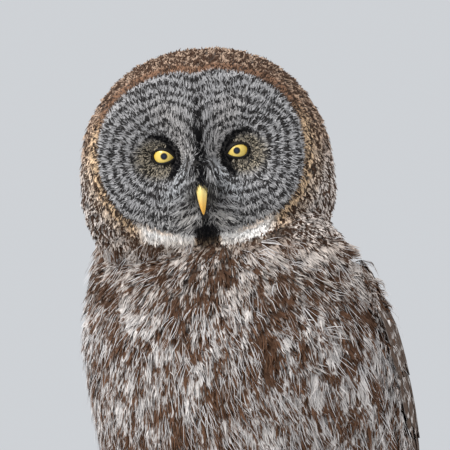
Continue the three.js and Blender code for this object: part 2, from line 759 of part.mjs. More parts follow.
// A rod stands on the base and ends against the underside of the perch
function rodSolid(side, clear) {
  const bottom = BASE.thickness + GAP - PERCH_TOP;
  const length = -PERCH.radius - bottom;
  const rod = new THREE.CylinderGeometry(ROD.radius, ROD.radius, length, 20).rotateX(PI / 2);
  return largest(solidFrom(rod.translate(side * ROD.out, 0, bottom + length / 2)).subtract(clear));
}

// The whole of head and body, joined, then parted with thin cuts under the head and under the neck
const headPlane = new THREE.Vector3(0, -NECK_SLOPE, 1).normalize().toArray();
const belowHead = headPlane.map((v) => -v);
const headCut = NECK_TOP * headPlane[2];
const body = bodySolid(0);
const bodyClear = bodySolid(GAP + 0.1);
const skull = skullSolid(0);
const perch = perchSolid(0);
const perchClear = perchSolid(GAP);

const torso = largest(body.trimByPlane([0, 0, -1], -NECK_BOTTOM));
const neck = largest(
  body.add(skull).trimByPlane([0, 0, 1], NECK_BOTTOM + GAP).trimByPlane(belowHead, -headCut),
);
const plumeClear = bodyClear.trimByPlane([0, 0, -1], -NECK_TOP - 11);
const plumes = Manifold.union([...ruffPlumes(), ...chinPlumes()])
  .subtract(plumeClear)
  .subtract(skullSolid(GAP).trimByPlane(belowHead, -headCut - GAP));
const lids = Manifold.union([-1, 1].map((side) => eyeBall(side, LID_RADIUS, 16, 10)));
const sockets = Manifold.union(
  [-1, 1].flatMap((side) => [eyeBall(side, EYE_RADIUS + GAP, 14, 9), lidOpening(side)]),
);
const billClear = Manifold.union([billSolid("upper", GAP + 0.1), billSolid("lower", GAP + 0.1)]);
const head = largest(
  body.add(skull).add(lids)
    .trimByPlane(headPlane, headCut + GAP)
    .add(plumes)
    .subtract(sockets)
    .subtract(billClear),
);

const wingClear = Manifold.union([bodyClear, tailSolid(bodyClear, GAP)]);

const LOOKS = {
  plumage: { color: 0x8d8379, roughness: 0.9 },
  face: { color: 0x85858a, roughness: 0.95 },
  wing: { color: 0x64564b, roughness: 0.85 },
  eye: { color: 0xf0c52c, roughness: 0.1 },
  bill: { color: 0xd9b83c, roughness: 0.4 },
  claw: { color: 0x1d1a18, roughness: 0.35 },
  leg: { color: 0xb5aca2, roughness: 0.95 },
  bark: { color: 0x6f5a48, roughness: 0.95 },
  wood: { color: 0x3a2a20, roughness: 0.5 },
  steel: { color: 0x2b2c2e, roughness: 0.4, metalness: 0.9 },
};

function piece(name, look, solid) {
  const mesh = new THREE.Mesh(geometryOf(solid), new THREE.MeshStandardMaterial(LOOKS[look]));
  mesh.name = name;
  return mesh;
}

const owl = new THREE.Group();
owl.position.set(0, -OWL_FORWARD, PERCH_TOP);
owl.add(
  piece("head", "face", head),
  piece("neck", "plumage", neck),
  piece("torso", "plumage", torso),
  piece("bill_upper", "bill", billSolid("upper", 0)),
  piece("bill_lower", "bill", billSolid("lower", 0)),
  piece("tail", "wing", tailSolid(bodyClear, 0)),
  piece("perch", "bark", perch),
);

for (const [side, name] of [[1, "left"], [-1, "right"]]) {
  const leg = legSolid(side, bodyClear);
  owl.add(
    piece("eye_" + name, "eye", eyeBall(side, EYE_RADIUS, 14, 9)),
    piece("wing_" + name, "wing", wingSolid(side, wingClear)),
    piece("leg_" + name, "leg", leg),
    piece("foot_" + name, "leg", footSolid(side, perchClear)),
    piece("stand_rod_" + name, "steel", rodSolid(side, perchClear)),
  );
  for (const toe of TOES) owl.add(piece("claw_" + name + "_" + toe.name, "claw", clawSolid(side, toe)));
}

const model = new THREE.Group();
model.add(owl, piece("stand_base", "wood", baseSolid()));

export default model;
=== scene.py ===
import math

import bpy
import numpy as np
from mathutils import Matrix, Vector
from mathutils.bvhtree import BVHTree
from mathutils.kdtree import KDTree


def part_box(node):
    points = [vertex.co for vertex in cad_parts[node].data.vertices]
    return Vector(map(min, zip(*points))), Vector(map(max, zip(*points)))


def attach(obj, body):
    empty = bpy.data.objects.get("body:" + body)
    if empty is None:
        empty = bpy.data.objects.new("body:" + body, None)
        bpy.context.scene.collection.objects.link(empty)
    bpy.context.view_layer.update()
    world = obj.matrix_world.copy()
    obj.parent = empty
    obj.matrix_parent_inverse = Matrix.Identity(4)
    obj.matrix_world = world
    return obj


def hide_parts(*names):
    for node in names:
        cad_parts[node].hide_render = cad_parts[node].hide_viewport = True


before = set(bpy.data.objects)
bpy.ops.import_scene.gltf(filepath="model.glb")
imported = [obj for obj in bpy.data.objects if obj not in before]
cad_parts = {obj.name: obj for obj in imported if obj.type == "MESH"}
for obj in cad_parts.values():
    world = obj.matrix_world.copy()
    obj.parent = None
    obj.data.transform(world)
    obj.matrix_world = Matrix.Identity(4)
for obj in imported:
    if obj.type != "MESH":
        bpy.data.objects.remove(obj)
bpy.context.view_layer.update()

# Where the owl is. It perches upright with its body towards -Y and its head turned to its left.
# The middle of the head follows from the two eyes, and the point between the feet from the head.
MM = 0.001
HEAD_TURN = math.radians(31)
HEAD_TILT = math.radians(4.5)
EYE_OUT, EYE_FORWARD, EYE_UP = 27.9 * MM, 46.5 * MM, 14.5 * MM
HEAD_OVER_FEET = np.array([0, -48, 352]) * MM

turn = np.array([
    [math.cos(HEAD_TURN), -math.sin(HEAD_TURN), 0],
    [math.sin(HEAD_TURN), math.cos(HEAD_TURN), 0],
    [0, 0, 1],
])
tilt = np.array([
    [math.cos(HEAD_TILT), 0, -math.sin(HEAD_TILT)],
    [0, 1, 0],
    [math.sin(HEAD_TILT), 0, math.cos(HEAD_TILT)],
])
HEAD_AXES = turn @ tilt * [1, -1, 1]  # columns: out to the left, forward out of the face, and up
eye_middles = [np.array(sum(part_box(f"eye_{side}"), Vector())) / 2 for side in ("left", "right")]
HEAD_AT = sum(eye_middles) / 2 - HEAD_AXES @ [0, EYE_FORWARD, EYE_UP]
OWL_AT = HEAD_AT - HEAD_OVER_FEET


def to_head(points):
    """Points of the row frame as out, forward and up in the head's own frame."""
    return (points - HEAD_AT) @ HEAD_AXES


def from_head(points):
    return points @ HEAD_AXES.T + HEAD_AT


# The camera looks straight at the face from the owl's front left, level with its chin and from far off.
# The picture is as wide as 450 steps of 0.77 mm on the owl.
PICTURE_WIDTH = 450 * 0.77 * MM
SENSOR_WIDTH = 36
CAMERA_DISTANCE = 9.0
CAMERA_TURN = math.radians(35)
PICTURE_MIDDLE = OWL_AT + np.array([-11.5, -8, 312]) * MM

lens = bpy.data.cameras.new("camera")
lens.sensor_width = SENSOR_WIDTH
lens.lens = SENSOR_WIDTH * CAMERA_DISTANCE / PICTURE_WIDTH
camera = bpy.data.objects.new("camera", lens)
bpy.context.scene.collection.objects.link(camera)
towards_camera = np.array([math.sin(CAMERA_TURN), -math.cos(CAMERA_TURN), 0])
camera.location = PICTURE_MIDDLE + CAMERA_DISTANCE * towards_camera
camera.rotation_euler = (math.pi / 2, 0, CAMERA_TURN)
bpy.context.scene.camera = camera


# Soft studio light: a pale room, a broad panel over the face, and one on each side a little behind.
WHITE_LIGHT, COOL_LIGHT = (1.0, 0.985, 0.96), (0.9, 0.95, 1.0)
ROOM_COLOUR, ROOM_STRENGTH = (0.86, 0.89, 0.93, 1), 0.72
LIT_POINT = Vector((0, 0, 0.25))  # where the panels aim, over the feet


def panel(name, azimuth, height, distance, size, watts, colour):
    """A square light that faces the owl, azimuth degrees round from its front towards its left."""
    light = bpy.data.lights.new(name, "AREA")
    light.size = size
    light.energy = watts
    light.color = colour
    lamp = bpy.data.objects.new(name, light)
    bpy.context.scene.collection.objects.link(lamp)
    angle = math.radians(azimuth)
    aim = Vector(OWL_AT) + LIT_POINT
    lamp.location = aim + Vector((distance * math.sin(angle), -distance * math.cos(angle), height))
    lamp.rotation_euler = (aim - lamp.location).to_track_quat("-Z", "Y").to_euler()


panel("key_light", azimuth=-12, height=1.35, distance=1.5, size=0.7, watts=40, colour=WHITE_LIGHT)
panel("side_light_right", azimuth=-80, height=0.6, distance=1.6, size=0.9, watts=12, colour=COOL_LIGHT)
panel("side_light_left", azimuth=130, height=0.9, distance=1.6, size=0.9, watts=20, colour=WHITE_LIGHT)

room = bpy.data.worlds.new("room")
room.use_nodes = True
room.node_tree.nodes["Background"].inputs["Color"].default_value = ROOM_COLOUR
room.node_tree.nodes["Background"].inputs["Strength"].default_value = ROOM_STRENGTH
bpy.context.scene.world = room
bpy.context.scene.view_settings.view_transform = "Standard"


# Finishes are made as node trees. A Value is one socket in a tree, and arithmetic on it adds Math nodes.
class Value:
    def __init__(self, finish, socket):
        self.finish = finish
        self.socket = socket

    def maths(self, operation, *terms):
        return self.finish.node("ShaderNodeMath", {"operation": operation}, dict(enumerate(terms)))

    def __add__(self, other):
        return self.maths("ADD", self, other)

    def __sub__(self, other):
        return self.maths("SUBTRACT", self, other)

    def __rsub__(self, other):
        return self.maths("SUBTRACT", other, self)

    def __mul__(self, other):
        return self.maths("MULTIPLY", self, other)

    __radd__ = __add__
    __rmul__ = __mul__

    def wave(self):
        return self.maths("SINE", self)

    def size(self):
        return self.maths("ABSOLUTE", self)

    def between(self, low, high):
        """0 below low and 1 above high, with a soft step between them."""
        settings = {"interpolation_type": "SMOOTHSTEP"}
        return self.finish.node("ShaderNodeMapRange", settings, {0: self, 1: low, 2: high})


class Finish:
    """A material, its node tree, and the one method that adds nodes to it."""

    def __init__(self, name):
        self.material = bpy.data.materials.new(name)
        self.material.use_nodes = True
        self.tree = self.material.node_tree
        self.shader = self.tree.nodes["Principled BSDF"]

    def node(self, kind, settings=None, feeds=None, output=0):
        made = self.tree.nodes.new(kind)
        for key, value in (settings or {}).items():
            setattr(made, key, value)
        for key, value in (feeds or {}).items():
            self.feed(made.inputs[key], value)
        return Value(self, made.outputs[output])

    def feed(self, socket, value):
        if isinstance(value, Value):
            self.tree.links.new(value.socket, socket)
        elif socket.type == "RGBA":
            socket.default_value = (*value, 1)
        else:
            socket.default_value = value

    def attribute(self, name, output="Fac"):
        return self.node("ShaderNodeAttribute", {"attribute_name": name}, output=output)

    def mix(self, share, first, second, blend="MIX"):
        settings = {"data_type": "RGBA", "blend_type": blend}
        return self.node("ShaderNodeMix", settings, {0: share, 6: first, 7: second}, 2)

    def vector(self, x, y, z):
        return self.node("ShaderNodeCombineXYZ", feeds={0: x, 1: y, 2: z})

    def noise(self, place, scale, detail=2.0, distortion=0.0):
        feeds = {"Vector": place, "Scale": scale, "Detail": detail, "Distortion": distortion}
        return self.node("ShaderNodeTexNoise", feeds=feeds)

    def place(self, stretch=(1, 1, 1)):
        """Where a point is on the piece, in metres, stretched along each axis."""
        found = self.node("ShaderNodeTexCoord", output="Object")
        return self.node("ShaderNodeVectorMath", {"operation": "MULTIPLY"}, {0: found, 1: stretch})

    def on_feather(self, axis):
        """Where a point is on its feather, from 0 to 1: axis 0 across it, axis 1 from its root to its tip."""
        feather = self.node("ShaderNodeUVMap", {"uv_map": "Feather"})
        return self.node("ShaderNodeSeparateXYZ", feeds={0: feather}, output=axis)

    def shaded(self, colour, shade):
        """A colour made darker or lighter by a factor."""
        tone = self.node("ShaderNodeCombineColor", feeds={0: shade, 1: shade, 2: shade})
        return self.mix(1.0, colour, tone, "MULTIPLY")

    def finish(self, **sockets):
        """Sets the shader's own sockets, named with _ for a blank, and gives the material."""
        for key, value in sockets.items():
            self.feed(self.shader.inputs[key.replace("_", " ")], value)
        return self.material

    def bump(self, height, distance, strength=1.0):
        feeds = {"Height": height, "Distance": distance, "Strength": strength}
        return self.node("ShaderNodeBump", feeds=feeds)


# The floor of the studio, a plain pale disc of smooth painted board. The stand rests loose on it, and it is
# no part of the model.
FLOOR_RADIUS, FLOOR_SIDES = 6.0, 96
FLOOR_GREYS = (0.60, 0.60, 0.595), (0.64, 0.64, 0.635)


def floor_finish():
    board = Finish("floor")
    mottle = board.noise(board.place(), 3.0)
    return board.finish(Base_Color=board.mix(mottle, *FLOOR_GREYS), Roughness=0.7)


def piece_from(name, points, faces, finish, smooth=True):
    """A mesh piece from an array of points and a list of arrays of faces, each of one corner count."""
    mesh = bpy.data.meshes.new(name)
    faces = [np.asarray(f, np.int32) for f in faces if len(f)]
    corners = np.concatenate([f.ravel() for f in faces])
    sizes = np.concatenate([np.full(len(f), f.shape[1], np.int32) for f in faces])
    starts = np.concatenate([[0], np.cumsum(sizes)[:-1]]).astype(np.int32)
    mesh.vertices.add(len(points))
    mesh.vertices.foreach_set("co", np.asarray(points, np.float32).ravel())
    mesh.loops.add(len(corners))
    mesh.loops.foreach_set("vertex_index", corners)
    mesh.polygons.add(len(sizes))
    mesh.polygons.foreach_set("loop_start", starts)
    mesh.polygons.foreach_set("use_smooth", np.full(len(sizes), smooth))
    mesh.update(calc_edges=True)
    mesh.materials.append(finish)
    piece = bpy.data.objects.new(name, mesh)
    bpy.context.scene.collection.objects.link(piece)
    return piece


def circle(count):
    """Angles spaced evenly all the way round."""
    return np.linspace(0, 2 * np.pi, count, endpoint=False)


angles = circle(FLOOR_SIDES)
rim = FLOOR_RADIUS * np.stack([np.cos(angles), np.sin(angles), 0 * angles], 1)
floor = piece_from("floor", rim, [np.arange(FLOOR_SIDES)[None]], floor_finish(), smooth=False)


# The skin is the bird's body under its feathers: head, neck, trunk, legs and feet in one piece, as on the
# real animal. It is lofted from the same sections as the solids, sunk by the depth of the feathers, and
# melted together.
# The body with its feathers on at a height: height, middle y, half width, depth to the breast and to the back
BODY = [
    (4, 78, 8, 8, 8), (9, 75, 38, 28, 26), (18, 70, 60, 44, 38), (34, 61, 84, 66, 52), (62, 49, 106, 89, 73),
    (100, 36, 124, 107, 88), (143, 22, 132, 112, 98), (200, 3, 133, 110, 99), (224, -5, 131, 107, 97),
    (254, -14, 124, 98, 92), (270, -18, 120, 91, 90), (286, -26, 115, 76, 87), (300, -33, 110, 62, 82),
    (318, -38, 97, 48, 72), (334, -42, 84, 40, 58), (350, -45, 50, 26, 36),
]
# The head from the rim of the face back: step, forward, middle, half width, height above and below the middle
HEAD = [
    (0, 58, 15, 78.5, 63.5, 64), (1, 52, 12, 85, 71, 68), (2, 40, 5, 92, 83, 72), (3, 22, -4, 98, 98, 76),
    (4, 0, -12, 100, 110, 78), (5, -28, -13, 95, 107, 76), (6, -52, -12, 81, 92, 66),
    (7, -70, -10, 58, 64, 48), (8, -81, -8, 27, 30, 24), (8.6, -83.5, -7, 4, 4, 4),
]
# Where a folded wing lies on the body: height, and the angles of its front and inner edge from the breast
WING_EDGES = [
    (-146, 152, 177), (-60, 131, 177), (0, 114, 177), (60, 103, 175), (140, 98, 169), (220, 97, 160),
    (290, 103, 148),
]
RIM_FORWARD, RIM_MIDDLE, RIM_OUT, RIM_UP, RIM_DOWN = HEAD[0][1:]
OUTLINE_POWER = 2.25  # 2 is an oval, and more is squarer
FACE_DOME = 9  # how far the middle of the face stands in front of its rim
BODY_DEPTH, HEAD_DEPTH, FACE_DEPTH, LEG_DEPTH, FOOT_DEPTH = 7, 4.5, 2.5, 4, 1.8  # of the plumage over it
FOOT_OUT = 40
TOES = [(-9, 1, 66), (8, 1, 70), (-8, -1, 58), (11, -1, 62)]  # out across the foot, forward, reach in degrees
TOE_RADIUS, TOE_LIFT = 8.2, 7.4
PERCH_RADIUS = 22
SKIN_CELL, SKIN_ROUNDS = 0.0019, 5  # how finely the skin is melted together, and how often it is smoothed
X_AXIS, Y_AXIS = np.array([1.0, 0, 0]), np.array([0, 1.0, 0])


def step(x, low, high):
    """0 at low and 1 at high, with a soft step between them. Low may be the greater."""
    t = np.clip((x - low) / (high - low), 0, 1)
    return t * t * (3 - 2 * t)


def lerp(a, b, t):
    return a + (b - a) * t


def stations(table, keys):
    """Reads a table of sections on a smooth curve through its rows. Its first column is the key."""
    table = np.array(table, float)
    knots, values = table[:, 0], table[:, 1:]
    after = np.minimum(np.arange(len(knots)) + 1, len(knots) - 1)
    before = np.maximum(np.arange(len(knots)) - 1, 0)
    slopes = (values[after] - values[before]) / (knots[after] - knots[before])[:, None]
    x = np.clip(keys, knots[0], knots[-1])
    i = np.clip(np.searchsorted(knots, x) - 1, 0, len(knots) - 2)
    h = (knots[i + 1] - knots[i])[..., None]
    t = (x - knots[i])[..., None] / h
    found = (1 + 2 * t) * (1 - t) ** 2 * values[i] + t * (1 - t) ** 2 * h * slopes[i]
    found = found + t * t * (3 - 2 * t) * values[i + 1] + t * t * (t - 1) * h * slopes[i + 1]
    return np.moveaxis(found, -1, 0)


def wing_bed(z, angle):
    """How deep the body is hollowed where a folded wing lies against it."""
    away = np.degrees(np.abs(np.arctan2(np.sin(angle), np.cos(angle))))
    front, inner = stations(WING_EDGES, z)
    across = step(away, front - 7, front + 7) * (1 - step(away, inner - 7, inner))
    return lerp(16, 12, step(z, 120, 200)) * across * step(z, 10, 60) * (1 - step(z, 278, 296))


def body_point(z, angle, lift=0.0):
    """A point on the body at a height and an angle from the breast, in millimetres over the feet."""
    middle, width, front, back = stations(BODY, z)
    depth = np.where(np.cos(angle) > 0, front, back)
    x = (width + lift) * np.sin(angle)
    return np.stack(np.broadcast_arrays(x, middle - (depth + lift) * np.cos(angle), z), -1)


def outline(angle):
    """The head's outline from the front, a rounded oval."""
    power = 2 / OUTLINE_POWER
    across, rise = np.cos(angle), np.sin(angle)
    return np.sign(across) * np.abs(across) ** power, np.sign(rise) * np.abs(rise) ** power


def head_point(at, angle, lift=0.0):
    """A point behind the face's rim in the head's frame, in millimetres."""
    forward, middle, width, up, down = stations(HEAD, at)
    across, rise = outline(angle)
    height = np.where(rise > 0, up, down)
    shape = np.broadcast_arrays((width + lift) * across, forward, middle + (height + lift) * rise)
    return np.stack(shape, -1)


def face_forward(out, up, share):
    """How far forward the face lies: a low dome, a dish round each eye, and a ridge down to the bill."""
    eye = np.hypot(np.abs(out) - EYE_OUT / MM, up - EYE_UP / MM)
    dish = -8 * np.exp(-((eye / 24) ** 2)) - 2.8 * np.exp(-((eye / 9) ** 4))
    ridge = 6 * np.exp(-((out / 9) ** 2)) * step(up, -28, -4) * (1 - step(up, 35, 62))
    muzzle = 4 * np.exp(-((out / 16) ** 2) - ((up + 14) / 14) ** 2)
    return RIM_FORWARD + (FACE_DOME * (1 - share**2) + dish + ridge + muzzle) * (1 - share**6)


def face_point(share, angle):
    across, rise = outline(angle)
    out = RIM_OUT * across * share
    up = RIM_MIDDLE + np.where(rise > 0, RIM_UP, RIM_DOWN) * rise * share
    return np.stack([out, face_forward(out, up, share), up], -1)


def round_perch(x, angle, radius):
    """A point that goes round the perch, from 0 at its top towards the front."""
    y, z = -radius * np.sin(angle), -PERCH_RADIUS + radius * np.cos(angle)
    return np.stack(np.broadcast_arrays(x, y, z), -1)


def band_quads(rows, count):
    """Faces between rings of equal count, each of them closed."""
    k = np.arange(count)
    after = np.roll(k, -1)
    first = (np.arange(rows - 1) * count)[:, None]
    quads = np.stack([first + k, first + after, first + count + after, first + count + k], -1)
    return quads.reshape(-1, 4)


def loft(rings):
    """Points and faces of a closed skin over rings of equal count, with a point at the middle of each end."""
    rows, count = rings.shape[:2]
    k, last = np.arange(count), (rows - 1) * count
    ends = np.stack([rings[0].mean(0), rings[-1].mean(0)])
    points = np.concatenate([rings.reshape(-1, 3), ends])
    start_cap = np.stack([np.full(count, rows * count), np.roll(k, -1), k], -1)
    end_cap = np.stack([np.full(count, rows * count + 1), last + k, last + np.roll(k, -1)], -1)
    return points, [band_quads(rows, count), start_cap, end_cap]


def tube_rings(middles, across, up, half_width, half_depth, count):
    angles = circle(count)[:, None]
    sides = half_width[:, None, None] * np.cos(angles) * across
    return middles[:, None] + sides + half_depth[:, None, None] * np.sin(angles) * up


def toe_rings(side, out, forward, reach, t):
    """One toe, which curls round the perch, swells at its joints and ends round."""
    angle = np.radians(forward * lerp(0, reach, t))
    x = side * (FOOT_OUT + lerp(0.35, 1.25, t) * out)
    thick = TOE_RADIUS * (1.02 - 0.12 * t + 0.06 * np.sin(t * 14)) - FOOT_DEPTH
    thick = thick * np.sqrt(1 - np.clip((t - 0.86) / 0.15, 0, 1) ** 2)
    middles = round_perch(x, angle, PERCH_RADIUS + TOE_LIFT)
    away = round_perch(0, angle, 1) - round_perch(0, angle, 0)
    return tube_rings(middles, X_AXIS, away[:, None], 0.94 * thick, thick, 14)


def skin_shells():
    """The closed shells that melt into the skin, in the row frame."""
    angles = circle(96)
    z = np.linspace(BODY[0][0] + BODY_DEPTH, BODY[-1][0], 70)[:, None]
    body = body_point(z, angles, -BODY_DEPTH - wing_bed(z, angles)) * MM + OWL_AT
    behind = head_point(np.linspace(HEAD[-1][0] - 0.3, 0, 44)[:, None], angles, -HEAD_DEPTH)
    behind[..., 1] -= FACE_DEPTH * step(behind[..., 1], 30, 58)
    face = face_point(np.linspace(0.97, 0.01, 44)[:, None], angles)
    face[..., 1] -= FACE_DEPTH
    shells = [body, from_head(np.concatenate([behind, face]) * MM)]
    t = np.linspace(0, 1, 20)
    for side in (-1, 1):
        middles = np.stack([side * lerp(46, FOOT_OUT, t), lerp(14, 1, t), lerp(86, 8, t)], -1)
        half_width, half_depth = lerp(31, 16, t**0.8) - LEG_DEPTH, lerp(36, 17, t**0.8) - LEG_DEPTH
        shells.append(tube_rings(middles, X_AXIS, Y_AXIS, half_width, half_depth, 24) * MM + OWL_AT)
        shells += [toe_rings(side, *toe, t) * MM + OWL_AT for toe in TOES]
    return shells


def melted(name, rings, cell, rounds):
    """One closed mesh from overlapping shells, remeshed and smoothed."""
    points, faces, first = [], [[], []], 0
    for shell in rings:
        at, (quads, *caps) = loft(shell)
        points.append(at)
        faces[0].append(quads + first)
        faces[1].extend(cap + first for cap in caps)
        first += len(at)
    shells = [np.concatenate(f) for f in faces]
    piece = piece_from(name, np.concatenate(points), shells, bpy.data.materials.new(name))
    remesh = piece.modifiers.new("melt", "REMESH")
    remesh.mode = "VOXEL"
    remesh.voxel_size = cell
    remesh.use_smooth_shade = True
    relax = piece.modifiers.new("relax", "SMOOTH")
    relax.factor = 0.5
    relax.iterations = rounds
    evaluated = piece.evaluated_get(bpy.context.evaluated_depsgraph_get())
    mesh = bpy.data.meshes.new_from_object(evaluated)
    piece.modifiers.clear()
    piece.data = mesh
    return piece


def array_of(items, key, kind=np.float32):
    """Three numbers of each item of a mesh."""
    found = np.empty(len(items) * 3, kind)
    items.foreach_get(key, found)
    return found.reshape(-1, 3).astype(float if kind is np.float32 else int)


skin = melted("skin", skin_shells(), SKIN_CELL, SKIN_ROUNDS)
skin.data.calc_loop_triangles()
skin_points = array_of(skin.data.vertices, "co")
skin_normals = array_of(skin.data.vertices, "normal")
skin_triangles = array_of(skin.data.loop_triangles, "vertices", np.int32)
skin_tree = BVHTree.FromPolygons(skin_points.tolist(), skin_triangles.tolist())

# The plumage's colours follow where a feather grows. Each place has a pale and a dark tone and a share of
# dark, which the feathers' own streaks, bars and rings then break up.
BODY_WHITE, BODY_BROWN, BODY_DARK = (0.70, 0.66, 0.64), (0.105, 0.054, 0.032), (0.026, 0.015, 0.010)
BREAST_BROWN, BACK_BROWN, LEG_GREY = (0.50, 0.42, 0.36), (0.46, 0.42, 0.40), (0.5, 0.46, 0.42)
CROWN_PALE, CROWN_DARK, NAPE_PALE = (0.50, 0.345, 0.245), (0.050, 0.027, 0.017), (0.74, 0.66, 0.61)
RUFOUS, DARK_RIM, BUFF = (0.25, 0.14, 0.088), (0.035, 0.02, 0.013), (0.86, 0.62, 0.40)
PALE_GREY, DARK_GREY, CHEEK_GREY = (0.45, 0.445, 0.455), (0.030, 0.028, 0.028), (0.36, 0.35, 0.34)
OLIVE, DARK_OLIVE, BILL_ROOT = (0.42, 0.36, 0.265), (0.012, 0.011, 0.009), (0.07, 0.064, 0.05)
BROW, LORE, MIDLINE = (0.58, 0.555, 0.545), (0.52, 0.535, 0.56), (0.10, 0.095, 0.09)
MOUSTACHE, BLACK, BIB_BLACK = (0.52, 0.50, 0.48), (0.003, 0.003, 0.004), (0.012, 0.011, 0.011)
CLEAN_WHITE, ORANGE = (1.0, 0.98, 0.96), (0.85, 0.50, 0.24)
WEDGE_BROWN, UNDER_CHIN = (0.12, 0.07, 0.045), (0.10, 0.08, 0.07)
BODY_SHARE = 0.565  # how much of the body's plumage is dark
LID_EDGE = (8.7, 6.0)  # half width and height of the lids' opening


def toned(base, colour, weight):
    return base + (np.array(colour) - base) * weight[:, None]


def rim_share(out, up):
    """1 on the outline of the face, less inside it."""
    height = np.where(up > RIM_MIDDLE, RIM_UP, RIM_DOWN)
    inside = np.abs(out / RIM_OUT) ** OUTLINE_POWER + np.abs((up - RIM_MIDDLE) / height) ** OUTLINE_POWER
    return inside ** (1 / OUTLINE_POWER)


def over_feet(points):
    return (points - OWL_AT) / MM


def head_weight(points):
    """1 on the head and 0 on the body, soft along the line where they meet."""
    return step(over_feet(points)[:, 2], 286, 306)


def body_angle(points):
    place = over_feet(points)
    middle = stations(BODY, place[:, 2])[0]
    return np.arctan2(place[:, 0], -(place[:, 1] - middle))


def in_head(points):
    """Out, forward and up of each point in the head's frame, in millimetres."""
    return (to_head(points) / MM).T


def bell(x, width):
    """1 at 0, and next to nothing a few widths away."""
    return np.exp(-((x / width) ** 2))


class Tones:
    """Pale tone, dark tone and share of dark at each point, and where the points are on the bird."""

    def __init__(self, points):
        self.out, self.forward, self.up = in_head(points)
        self.aside = np.abs(self.out)
        self.share = rim_share(self.out, self.up) + 0.06 * bell(self.out, 8) * step(self.up, 40, 66)
        self.inward, self.rise = EYE_OUT / MM - self.aside, self.up - EYE_UP / MM
        self.head = head_weight(points)
        self.height = over_feet(points)[:, 2]
        self.away = np.abs(np.degrees(body_angle(points)))
        self.pale = np.tile(BODY_WHITE, (len(points), 1)).astype(float)
        self.dark = np.tile(BODY_BROWN, (len(points), 1)).astype(float)
        self.amount = np.full(len(points), BODY_SHARE)

    def lay(self, weight, pale=None, dark=None, amount=None, pale_most=1.0, dark_most=1.0):
        """Turns the tones into others, as far as the weight says at each point and at most that far."""
        if pale is not None:
            self.pale = toned(self.pale, pale, pale_most * weight)
        if dark is not None:
            self.dark = toned(self.dark, dark, dark_most * weight)
        if amount is not None:
            self.amount = lerp(self.amount, amount, weight)


def mark_body(at):
    """Browner and finer on the upper breast and the back, paler on the belly and the legs."""
    back, low = step(at.away, 95, 130), step(at.height, 90, 40)
    at.lay(step(at.height, 226, 272), BREAST_BROWN, BODY_DARK, at.amount + 0.03, 0.5, 0.35)
    at.lay(back, BACK_BROWN, BODY_DARK, at.amount + 0.08, 0.8, 0.5)
    at.lay(low * (1 - back), BODY_WHITE)
    at.lay(low, amount=0.36)
    at.lay(step(at.height, 30, 12), LEG_GREY, amount=0.3)


def mark_head(at):
    """The crown, the sides and the nape, paler low at the sides."""
    at.lay(at.head, CROWN_PALE, CROWN_DARK, lerp(0.54, 0.64, step(at.up, 30, 70)), 0.9)
    at.lay(at.head * step(at.up, 30, -10) * step(at.aside, 50, 70), NAPE_PALE)


def mark_rim(at, front):
    """The rim of the face: a brown band, dark inside, that turns buff and flecked low at the sides."""
    band = front * step(at.share, 0.985, 1.0) * step(at.share, 1.11, 1.06)
    flecked = step(at.up, 52, 26)
    at.lay(band, RUFOUS, DARK_RIM, lerp(0.42, 0.5, flecked))
    at.lay(band * flecked, BUFF)
    around = front * step(at.share, 1.04, 1.1) * step(at.share, 1.22, 1.14) * step(at.up, 60, 20)
    at.lay(around, BUFF, pale_most=0.45)
    at.lay(front * bell(at.share - 0.995, 0.02) * step(at.aside, 20, 40), DARK_RIM, pale_most=0.85)


def mark_eyes(at, face):
    """The grey face, flecked olive round each eye, with a pale brow above it and a pale lore under it."""
    at.lay(face, PALE_GREY, DARK_GREY, 0.5)
    patch = face * step(np.hypot((at.inward + 5) / 20, (at.rise + 2) / 17), 1.12, 0.62)
    at.lay(patch, OLIVE, DARK_OLIVE, 0.56, 0.9)
    above, below = at.up - 12, 4 - at.up
    brow = face * bell(at.aside - 9 - 0.42 * above, 5 + 0.22 * np.maximum(above, 0))
    at.lay(brow * step(at.up, 2, 16) * step(at.up, 62, 42), BROW, amount=0.42, pale_most=0.85)
    lore = face * bell(at.aside - 13 - 0.5 * below, 5.5 + 0.25 * np.maximum(below, 0))
    at.lay(lore * step(at.up, 14, 4) * step(at.up, -26, -12), LORE, amount=0.5)


def mark_middle(at, face):
    """The dark line down the face, the dark root of the bill, and the pale tufts and cheeks beside it."""
    line = face * np.exp(-((at.out / 3.4) ** 4)) * lerp(0.25, 1, step(at.up, 60, 20))
    at.lay(line * step(at.up, 84, 70), MIDLINE, BLACK, 0.95, 0.7)
    root = face * bell(at.aside, 14) * bell(at.up + 16, 11)
    at.lay(np.minimum(1, 1.3 * root), BILL_ROOT, pale_most=0.85)
    at.lay(root, amount=0.65)
    tuft = face * bell(at.aside - 12, 8) * bell(at.up + 36, 8)
    at.lay(np.minimum(1, 1.3 * tuft), MOUSTACHE)
    at.lay(tuft, amount=0.3)
    at.lay(face * step(at.up, -18, -34) * step(at.aside, 8, 20), CHEEK_GREY, pale_most=0.5)


def mark_crescents(at, face):
    """The black crescent on the bill's side of each eye, and the black edge of its lids."""
    across, along = at.inward + 6.4, at.rise + 2.4
    reach, bearing = np.hypot(across, along), np.degrees(np.arctan2(along, across))
    thick = 2.2 + 6.4 * bell(bearing - 8, 46)
    crescent = step(reach, 19.6, 18.6) * step(reach, 17.4 - thick, 18.4 - thick)
    crescent = crescent * step(bearing, -70, -58) * step(bearing, 122, 104)
    lid_line = step(np.hypot(at.inward / LID_EDGE[0], at.rise / LID_EDGE[1]), 1.22, 1.08)
    at.lay(face * np.maximum(crescent, lid_line), BLACK, BLACK)


